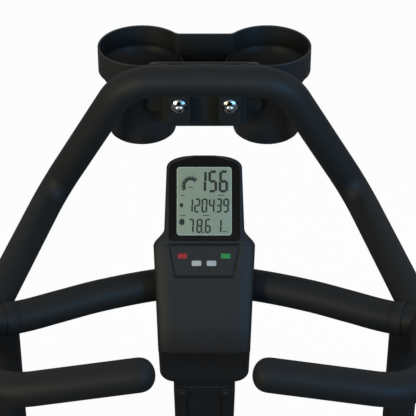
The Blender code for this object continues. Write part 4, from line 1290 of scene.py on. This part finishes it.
@dataclass
class Drive:
    """The flywheel, the belt and its pulleys behind their covers, and the cranks with their pedals."""

    rim: float = 0.210
    centre: Array = field(default_factory=lambda: middle("flywheel"))
    bracket: Array = field(default_factory=lambda: middle("crank_axle"))

    def build(self) -> None:
        """Makes the turning pieces and their covers."""
        self.wheel()
        for node in ("flywheel_axle", "crank_axle", "flywheel_pulley", "drive_pulley"):
            refine(node, 0.0003)
        refine("drive_belt", 0.0004)
        refine("cover_inner", 0.0006)
        refine("cover_outer", 0.0030)
        self.cover_trim()
        for side, sign in (("left", -1), ("right", 1)):
            refine("crank_arm_" + side, 0.0018)
            self.pedal(side, sign)

    def wheel(self) -> None:
        """The flywheel: a thick rim turned smooth, a thin web with a raised ring and a stepped hub."""
        rim, bore = self.rim, 0.0103
        half = [(bore, 0.030), (0.026, 0.030), (0.029, 0.028), (0.033, 0.0075), (0.060, 0.0058),
                (0.066, 0.0072), (0.074, 0.0072), (0.080, 0.0058), (rim - 0.056, 0.0058),
                (rim - 0.048, 0.0130), (rim - 0.044, 0.0140), (rim - 0.020, 0.0140), (rim - 0.0185, 0.0132),
                (rim - 0.017, 0.0140), (rim - 0.003, 0.0140), (rim - 0.0002, 0.0112)]
        profile = [(r, -h) for r, h in half] + [(r, h) for r, h in reversed(half)]
        rings = lathe(softened(profile, 0.0012, closed=True), 160)
        turned = Shape("flywheel_turned").grid(rings, closed=True, turn=placing(self.centre, X, Y))
        turned.finish("flywheel_iron", "flywheel", ("flywheel",))
        shape = Shape("hub_bolts")
        for angle in np.linspace(0.0, 2 * math.pi, 6, endpoint=False):
            spot = self.centre + 0.070 * np.array((0.0, math.cos(angle), math.sin(angle)))
            for sign in (-1, 1):
                place = placing(spot + sign * X * 0.0068, sign * X)
                shape.grid(button(BOLT_HEAD, 0.0006, 6, 0.0004), turn=place)
        shape.finish("chrome", "flywheel", angle=20.0)

    def cover_trim(self) -> None:
        """Screws on the outer cover and a ring round its crank opening."""
        face = corner_boxes("cover_outer")[1][0]
        shape = Shape("cover_screws")
        spots = ((self.bracket[1], self.bracket[2], 0.055, 5), (self.centre[1], self.centre[2], 0.027, 3))
        for y, z, radius, count in spots:
            for angle in np.linspace(0.4, 2 * math.pi + 0.4, count, endpoint=False):
                spot = np.array((face - 0.0004, y + radius * math.cos(angle), z + radius * math.sin(angle)))
                shape.grid(button(SCREW_HEAD, 0.0005, 20), turn=placing(spot, X, Y))
        shape.finish("crank_steel", "frame")
        rim = softened(COVER_RING, 0.0006, closed=True)
        place = placing(np.array((face - 0.0003, self.bracket[1], self.bracket[2])), X, Y)
        Shape("cover_ring").grid(lathe(rim, 72), closed=True, turn=place).finish("crank_steel", "frame")

    def pedal(self, side: str, sign: int) -> None:
        """A platform pedal with two grip rails, a plastic cap on its outer end and its toe cage.

        Args:
            side: left or right.
            sign: The side's direction along X.
        """
        refine("pedal_" + side, 0.0022)
        refine("toe_cage_" + side, 0.0009)
        low, high = corner_boxes("pedal_" + side)
        shape = Shape("pedal_grips_" + side)
        centre = (low + high) / 2
        for top in (-1, 1):
            for y in np.linspace(low[1] + 0.014, high[1] - 0.014, 6):
                ridge = slab(rounded(0.062, 0.0042, 0.0018, 4), 0.0, 0.0016, 0.0007)
                spot = np.array((centre[0], y, high[2] - 0.0003 if top > 0 else low[2] + 0.0003))
                shape.grid(ridge, turn=placing(spot, Z * top))
        shape.finish("foot_rubber", "pedal_" + side)
        end = np.array((high[0] if sign > 0 else low[0], centre[1], centre[2]))
        cap = Shape("pedal_cap_" + side)
        cap.grid(button(PEDAL_CAP, 0.0008, 32, 0.0005), turn=placing(end - sign * X * 0.0004, sign * X, Y))
        cap.finish("end_plastic", "pedal_" + side)


@dataclass
class Frame:
    """The welded frame, its end caps, feet and wheels, and the pins and knobs that lock the slides."""

    bead: float = 0.0022
    bead_levels: tuple[float, float] = (0.6460, 0.6840)
    turned_nodes: tuple[str, ...] = ("bar_pin", "seat_pin", "slider_knob", "resistance_knob")

    def build(self) -> None:
        """Makes every frame piece."""
        for node in ("front_stabiliser", "rear_stabiliser", "base_rail", "main_beam", "head_tube", "seat_tube",
                     "fork_left", "fork_right"):
            refine(node, 0.0008)
        for end in ("front", "rear"):
            for side in ("left", "right"):
                refine(f"end_cap_{end}_{side}", 0.0030)
                self.foot(f"foot_{end}_{side}")
        for side in ("left", "right"):
            self.wheel("transport_wheel_" + side)
        for node in self.turned_nodes:
            refine(node, 0.0012)
        refine("brake_rod", 0.0004)
        refine("brake_shoe", 0.0010)
        self.weld_beads()
        self.collars()

    def foot(self, node: str) -> None:
        """A levelling foot: a threaded stud in a wide soft disc, with a hexagonal lock nut above it.

        Args:
            node: The CAD node of the foot.
        """
        low, high = corner_boxes(node)
        centre, radius = (low + high) / 2, (high[0] - low[0]) / 2
        profile = [(0.0, 0.0), (radius, 0.0), (radius, 0.0075), (radius * 0.72, 0.0100), (0.0, 0.0100)]
        shape = Shape(node + "_disc")
        place = placing(np.array((centre[0], centre[1], low[2])), Z)
        shape.grid(button(profile, 0.0018, 56, 0.001), turn=place)
        shape.finish("foot_rubber", node)
        refine(node, 0.0003)

    def wheel(self, node: str) -> None:
        """A transport wheel: a grooved soft tread on a dished hub.

        Args:
            node: The CAD node of the wheel.
        """
        low, high = corner_boxes(node)
        centre, radius, half = (low + high) / 2, (high[2] - low[2]) / 2, (high[0] - low[0]) / 2
        bore = 0.0048
        side = [(bore, half), (0.0090, half), (0.0105, half - 0.0030), (radius - 0.009, half - 0.0034),
                (radius - 0.0072, half - 0.0004), (radius - 0.0022, half - 0.0004),
                (radius - 0.0002, half - 0.003), (radius - 0.0002, half - 0.007),
                (radius - 0.0014, half - 0.0078), (radius - 0.0014, half - 0.0092), (radius - 0.0002, 0.0020)]
        whole = side + [(r, -h) for r, h in reversed(side)]
        rings = lathe(softened(whole, 0.0009, closed=True), 96)
        tread = Shape(node + "_tread").grid(rings, closed=True, turn=placing(centre, X, Y))
        tread.finish("foot_rubber", node, (node,))

    def weld_beads(self) -> None:
        """Fillet welds: thin rounded beads where a tube lands on another."""
        beads = Shape("weld_beads")
        outline = rounded(0.0515, 0.0615, 0.008)
        path = np.column_stack([outline, np.zeros(len(outline))])
        seat = middle("handlebar_post")
        for level in self.bead_levels:
            beads.grid(closed_pipe(path + (0.0, seat[1], level), self.bead), closed=True)
        beads.finish("frame_paint", "frame", angle=60.0)

    def collars(self) -> None:
        """The plastic bush at the mouth of the head tube, which the post slides through."""
        mouth = corner_boxes("head_tube")[1][2]
        post_low, post_high = corner_boxes("handlebar_post")
        centre = (post_low + post_high) / 2
        inner = rounded(post_high[0] - post_low[0] + 0.0012, post_high[1] - post_low[1] + 0.0012, 0.0066)
        outer = rounded(0.054, 0.064, 0.009)
        rings = [(inner, 0.0), (outer, 0.0), (outer, 0.0045), (outer * 0.985, 0.0060), (inner * 1.02, 0.0060),
                 (inner, 0.0050)]
        wall = np.stack([at_height(outline, height) for outline, height in rings])
        wall = wall + (centre[0], centre[1], mouth + 0.0002)
        Shape("post_bush").grid(wall, closed=True).finish("end_plastic", "frame")


def closed_pipe(path: Array, radius: float, sides: int = 12) -> Array:
    """Rings of a round bead along a closed level path.

    Each ring lies across the path: outwards is the path's tangent turned a quarter, and the other way is
    up.

    Args:
        path: A closed level path.
        radius: The bead's radius.
        sides: The number of sides.

    Returns:
        The rings.
    """
    tangent = np.roll(path, -1, 0) - np.roll(path, 1, 0)
    tangent /= np.linalg.norm(tangent, axis=1, keepdims=True)
    outward = np.cross(tangent, Z)
    angle = np.linspace(0.0, 2 * math.pi, sides, endpoint=False)
    ring = outward[:, None] * np.cos(angle)[None, :, None] + Z * np.sin(angle)[None, :, None]
    return path[:, None] + ring * radius


# ------------------------------------------------------------------ seat

@dataclass
class Seat:
    """The seat post, the slider and the padded saddle."""

    swell: float = 0.009
    voxel: float = 0.0055
    tension: float = 14.0
    pressure: float = 4.0
    frames: int = 20
    scale: tuple[float, float, float] = (0.965, 0.975, 0.93)
    seam: float = 0.30
    fill: float = 0.6
    post_slope: float = math.radians(72.0)
    post_top: tuple[float, float, float] = (0.0, -0.352, 0.905)
    post_half: float = 0.02492
    mark_count: int = 8
    first_mark: float = 0.030
    mark_step: float = 0.020

    def build(self) -> None:
        """Makes every seat piece."""
        for node, bevel in (("seat_post", 0.0010), ("slider_rail", 0.0010), ("saddle_clamp", 0.0012),
                            ("saddle_base", 0.0012)):
            refine(node, bevel)
        refine("saddle_rails", 0.0)
        pad = self.pad()
        self.scale_marks()
        self.piping(pad)

    def pad(self) -> bpy.types.Object:
        """The padded cover: a shrunk copy of the CAD pad, blown up as cloth until it is taut.

        The copy is remeshed to even cells. The channel down the middle and the seam line are pinned, so the
        cover swells between them. Any point that moves further than the swell is brought back to it.

        Returns:
            The padded cover.
        """
        source = frame["nodes"]["saddle_pad"]
        low, high = corner_boxes("saddle_pad")
        piece = source.copy()
        piece.data = source.data.copy()
        piece.name = "saddle_cover"
        bpy.context.scene.collection.objects.link(piece)
        piece.data.transform(source.matrix_world)
        piece.parent = None
        piece.matrix_world.identity()
        points = read_points(piece)
        anchor = np.array(((low[0] + high[0]) / 2, (low[1] + high[1]) / 2, low[2]))
        write_points(piece, anchor + (points - anchor) * self.scale)
        remesh = piece.modifiers.new("cells", "REMESH")
        remesh.mode = "VOXEL"
        remesh.voxel_size = self.voxel
        apply_modifiers(piece)
        start = read_points(piece)
        span = high - low
        across = (start[:, 0] - anchor[0]) / span[0] * 2
        up = (start[:, 2] - low[2]) / span[2]
        channel = np.exp(-(across / 0.10) ** 2) * (up > 0.6)
        seam = np.exp(-((up - self.seam) / 0.06) ** 2)
        held = np.clip(np.maximum(0.75 * channel, seam), 0.0, 1.0)
        held = np.where(up < 0.06, 1.0, held)
        group = piece.vertex_groups.new(name="held")
        for level in np.linspace(0.1, 1.0, 10):
            chosen = np.flatnonzero((held > level - 0.1) & (held <= level))
            if len(chosen):
                group.add(chosen.tolist(), float(level), "REPLACE")
        self.blow_up(piece)
        moved = read_points(piece) - start
        length = np.linalg.norm(moved, axis=1, keepdims=True)
        limited = moved * np.minimum(1.0, self.swell / np.maximum(length, 1e-9))
        settled = start + limited
        settled[:, 2] = np.maximum(settled[:, 2], low[2] + 0.0002)
        write_points(piece, settled)
        smooth = piece.modifiers.new("even", "SMOOTH")
        smooth.factor = 0.4
        smooth.iterations = 2
        finer = piece.modifiers.new("finer", "SUBSURF")
        finer.levels = finer.render_levels = 1
        apply_modifiers(piece)
        final = read_points(piece)
        inside = np.clip(final, low + (0.0, 0.0, 0.0001), high + (0.0, 0.0, 0.006))
        write_points(piece, inside)
        piece.vertex_groups.clear()
        piece.data.polygons.foreach_set("use_smooth", np.ones(len(piece.data.polygons), bool))
        piece.data.update()
        fix(piece, "saddle_skin", "saddle", ("saddle_pad",))
        return piece

    def blow_up(self, piece: bpy.types.Object) -> None:
        """Runs the cloth for its frames and keeps the last shape.

        Args:
            piece: The pad with its group of held points.
        """
        scene = bpy.context.scene
        cloth = piece.modifiers.new("cover", "CLOTH")
        settings = cloth.settings
        chosen = {"quality": 5, "mass": 0.25, "tension_stiffness": self.tension,
                  "compression_stiffness": self.tension, "bending_stiffness": 0.6, "use_pressure": True,
                  "uniform_pressure_force": self.pressure, "vertex_group_mass": "held", "pin_stiffness": 1.0}
        for key, value in chosen.items():
            setattr(settings, key, value)
        settings.effector_weights.gravity = 0.0
        cloth.point_cache.frame_start = 1
        cloth.point_cache.frame_end = self.frames
        for step in range(1, self.frames + 1):
            scene.frame_set(step)
            bpy.context.view_layer.update()
        apply_modifiers(piece)
        scene.frame_set(1)

    def piping(self, pad: bpy.types.Object) -> None:
        """A row of stitches just under the pad's widest line, each a short thread laid along the seam.

        The seam is the pad's own outline at that height: for each angle about the middle, the farthest
        point within a thin level slice, smoothed along its length.

        Args:
            pad: The finished pad.
        """
        low, high = corner_boxes("saddle_pad")
        points = read_points(pad)
        level = low[2] + (high[2] - low[2]) * self.seam
        near = points[np.abs(points[:, 2] - level) < 0.004]
        middle_x, middle_y = (low[0] + high[0]) / 2, (low[1] + high[1]) / 2
        offset = near[:, :2] - (middle_x, middle_y)
        angle = np.arctan2(offset[:, 1] * 0.7, offset[:, 0])
        reach = np.linalg.norm(offset, axis=1)
        bins = 180
        slot = ((angle + math.pi) / (2 * math.pi) * bins).astype(int) % bins
        furthest = np.zeros(bins)
        np.maximum.at(furthest, slot, reach)
        good = furthest > 0
        index = np.arange(bins)
        furthest = np.interp(index, index[good], furthest[good], period=bins)
        for _ in range(3):
            furthest = (np.roll(furthest, 1) + 2 * furthest + np.roll(furthest, -1)) / 4
        theta = (index + 0.5) / bins * 2 * math.pi - math.pi
        way = np.stack([np.cos(theta), np.sin(theta) / 0.7], -1)
        way /= np.linalg.norm(way, axis=1, keepdims=True)
        ring = np.column_stack([middle_x + way[:, 0] * furthest, middle_y + way[:, 1] * furthest,
                                np.full(bins, level)])
        even = even_loop(ring, 0.0052)
        shape = Shape("saddle_stitches")
        following = np.roll(even, -1, 0)
        for start, end in zip(even, following):
            run = end - start
            path = start + np.outer(np.linspace(0.12, 0.80, 5), run)
            path[:, 2] += 0.0006 * np.sin(np.linspace(0.0, math.pi, 5))
            shape.grid(pipe(path, 0.00055, 8))
        shape.finish("saddle_thread", "saddle", angle=60.0)

    def scale_marks(self) -> None:
        """Height marks down the front of the seat post: short raised bars at even steps."""
        along = np.array((0.0, -math.cos(self.post_slope), math.sin(self.post_slope)))
        forward = np.array((0.0, math.sin(self.post_slope), math.cos(self.post_slope)))
        shape = Shape("seat_post_marks")
        for i in range(self.mark_count):
            down = self.first_mark + self.mark_step * i
            spot = self.post_top - along * down + forward * self.post_half
            mark = slab(rounded(0.016 if i % 2 else 0.024, 0.0014, 0.0006, 3), 0.0, 0.0002, 0.0001)
            shape.grid(mark, turn=placing(spot, forward))
        shape.finish("crank_steel", "seat_post")


def read_points(piece: bpy.types.Object) -> Array:
    """A mesh's points as an array.

    Args:
        piece: The piece.

    Returns:
        Its points.
    """
    points = np.zeros(len(piece.data.vertices) * 3, np.float32)
    piece.data.vertices.foreach_get("co", points)
    return points.reshape(-1, 3).astype(float)


def write_points(piece: bpy.types.Object, points: Array) -> None:
    """Puts an array of points back into a mesh."""
    piece.data.vertices.foreach_set("co", points.astype(np.float32).reshape(-1))
    piece.data.update()


def apply_modifiers(piece: bpy.types.Object) -> None:
    """Replaces a piece's mesh by the shape that its modifiers give it now.

    Args:
        piece: The piece.
    """
    graph = bpy.context.evaluated_depsgraph_get()
    shown = piece.evaluated_get(graph)
    mesh = bpy.data.meshes.new_from_object(shown, preserve_all_data_layers=True, depsgraph=graph)
    piece.modifiers.clear()
    piece.data = mesh


def even_loop(points: Array, step: float) -> Array:
    """Points at even steps round a closed loop, by straight lines between the given ones.

    Args:
        points: A closed loop.
        step: The distance between two new points.

    Returns:
        The new points.
    """
    closed = np.vstack([points, points[:1]])
    length = np.concatenate([[0.0], np.cumsum(np.linalg.norm(np.diff(closed, axis=0), axis=1))])
    at = np.arange(0.0, length[-1] - step / 2, step)
    return np.stack([np.interp(at, length, closed[:, k]) for k in range(3)], -1)


# ------------------------------------------------------------------ stage

@dataclass(frozen=True)
class Lamp:
    """A soft area light that points at the handlebar."""

    name: str
    place: tuple[float, float, float]
    size: float
    power: float
    colour: tuple[float, float, float]
    aim: tuple[float, float, float] = (0.0, 0.2, 1.05)
    spread: float = 180.0

    def build(self) -> None:
        """Makes the light."""
        light = bpy.data.lights.new(self.name, "AREA")
        light.shape = "DISK"
        light.size = self.size
        light.energy = self.power
        light.color = self.colour
        light.spread = math.radians(self.spread)
        lamp = add_object(self.name, light)
        lamp.visible_camera = False
        back = np.array(self.place) - np.array(self.aim)
        lamp.matrix_world = Matrix(placing(np.array(self.place), back).tolist())


LAMPS = (
    Lamp("key_cool", (1.6, 0.4, 2.3), 0.9, 0.9, (0.66, 0.84, 1.0)),
    Lamp("fill_warm", (-1.6, 0.2, 2.1), 1.0, 0.7, (1.0, 0.93, 0.80)),
    Lamp("front_soft", (0.1, -1.9, 2.5), 1.4, 0.9, (1.0, 0.99, 0.98)),
    Lamp("back_rim", (0.0, 2.1, 2.4), 1.4, 1.0, (1.0, 0.98, 0.97)),
    Lamp("side_cool", (0.95, -1.00, 1.66), 0.42, 0.9, (0.14, 0.55, 1.0), (0.0, 0.38, 1.24), 50.0),
    Lamp("side_warm", (-0.95, -1.00, 1.66), 0.42, 0.7, (1.0, 0.86, 0.50), (0.0, 0.38, 1.24), 50.0),
)


def glow(tree: bpy.types.NodeTree, strength: float) -> bpy.types.NodeSocket:
    """A strength that only the camera's own rays see: Is Camera Ray times the strength."""
    path = add_node(tree, "ShaderNodeLightPath")
    return math_node(tree, "MULTIPLY", path.outputs["Is Camera Ray"], strength)


@dataclass(frozen=True)
class Stage:
    """The pale floor, the white room, the lights and the camera.

    The floor and the room glow for the camera's own rays only, so they look white and light the bike
    weakly.
    """

    floor_half: float = 14.0
    floor_grey: float = 0.30
    floor_glow: float = 0.86
    room_glow: float = 0.75
    room_light: float = 0.35
    room_colour: tuple[float, float, float] = (0.96, 0.98, 1.0)
    lens: float = 138.46
    sensor: float = 36.0
    far: float = 60.0
    eye: tuple[float, float, float] = (0.004, -1.225, 2.101)
    tilt: float = 56.4

    def build(self) -> None:
        """Makes the floor, the room, the lamps and the camera."""
        self.floor()
        self.room()
        for lamp in LAMPS:
            lamp.build()
        self.camera()

    def floor(self) -> None:
        """A level square at height zero."""
        material = bpy.data.materials.new("floor_pale")
        material.use_nodes = True
        tree = material.node_tree
        shader = tree.nodes["Principled BSDF"]
        set_inputs(shader, {"Base Color": (*(self.floor_grey,) * 3, 1.0), "Roughness": 0.9,
                            "Emission Color": (1.0, 1.0, 1.0, 1.0)})
        tree.links.new(glow(tree, self.floor_glow), shader.inputs["Emission Strength"])
        mesh = bpy.data.meshes.new("floor")
        half = self.floor_half
        corners = [(-half, -half, 0.0), (half, -half, 0.0), (half, half, 0.0), (-half, half, 0.0)]
        mesh.from_pydata(corners, [], [(0, 1, 2, 3)])
        mesh.materials.append(material)
        add_object("floor", mesh)

    def room(self) -> None:
        """The world's light and the way colours are shown."""
        world = bpy.data.worlds.new("studio")
        bpy.context.scene.world = world
        world.use_nodes = True
        tree = world.node_tree
        background = tree.nodes["Background"]
        background.inputs["Color"].default_value = (*self.room_colour, 1.0)
        level = math_node(tree, "ADD", glow(tree, self.room_glow), self.room_light)
        tree.links.new(level, background.inputs["Strength"])
        bpy.context.scene.view_settings.view_transform = "Standard"

    def camera(self) -> None:
        """The camera over the rider's place, looking down at the console."""
        camera = bpy.data.cameras.new("camera")
        camera.lens = self.lens
        camera.sensor_width = self.sensor
        camera.clip_end = self.far
        holder = add_object("camera", camera)
        holder.location = self.eye
        holder.rotation_euler = (math.radians(self.tilt), 0.0, 0.0)
        bpy.context.scene.camera = holder


def main() -> None:
    """Builds the whole bike, the stage and the camera."""
    logging.basicConfig(level=logging.INFO, format="%(message)s")
    MATERIALS.update(build_finishes())
    bar = Handlebar()
    for assembly in (bar, CupHolder(bar), Console(bar), Drive(), Frame(), Seat()):
        assembly.build()
        LOG.info("%s is done", type(assembly).__name__)
    Stage().build()
    bpy.context.view_layer.update()


if __name__ == "__main__":
    main()
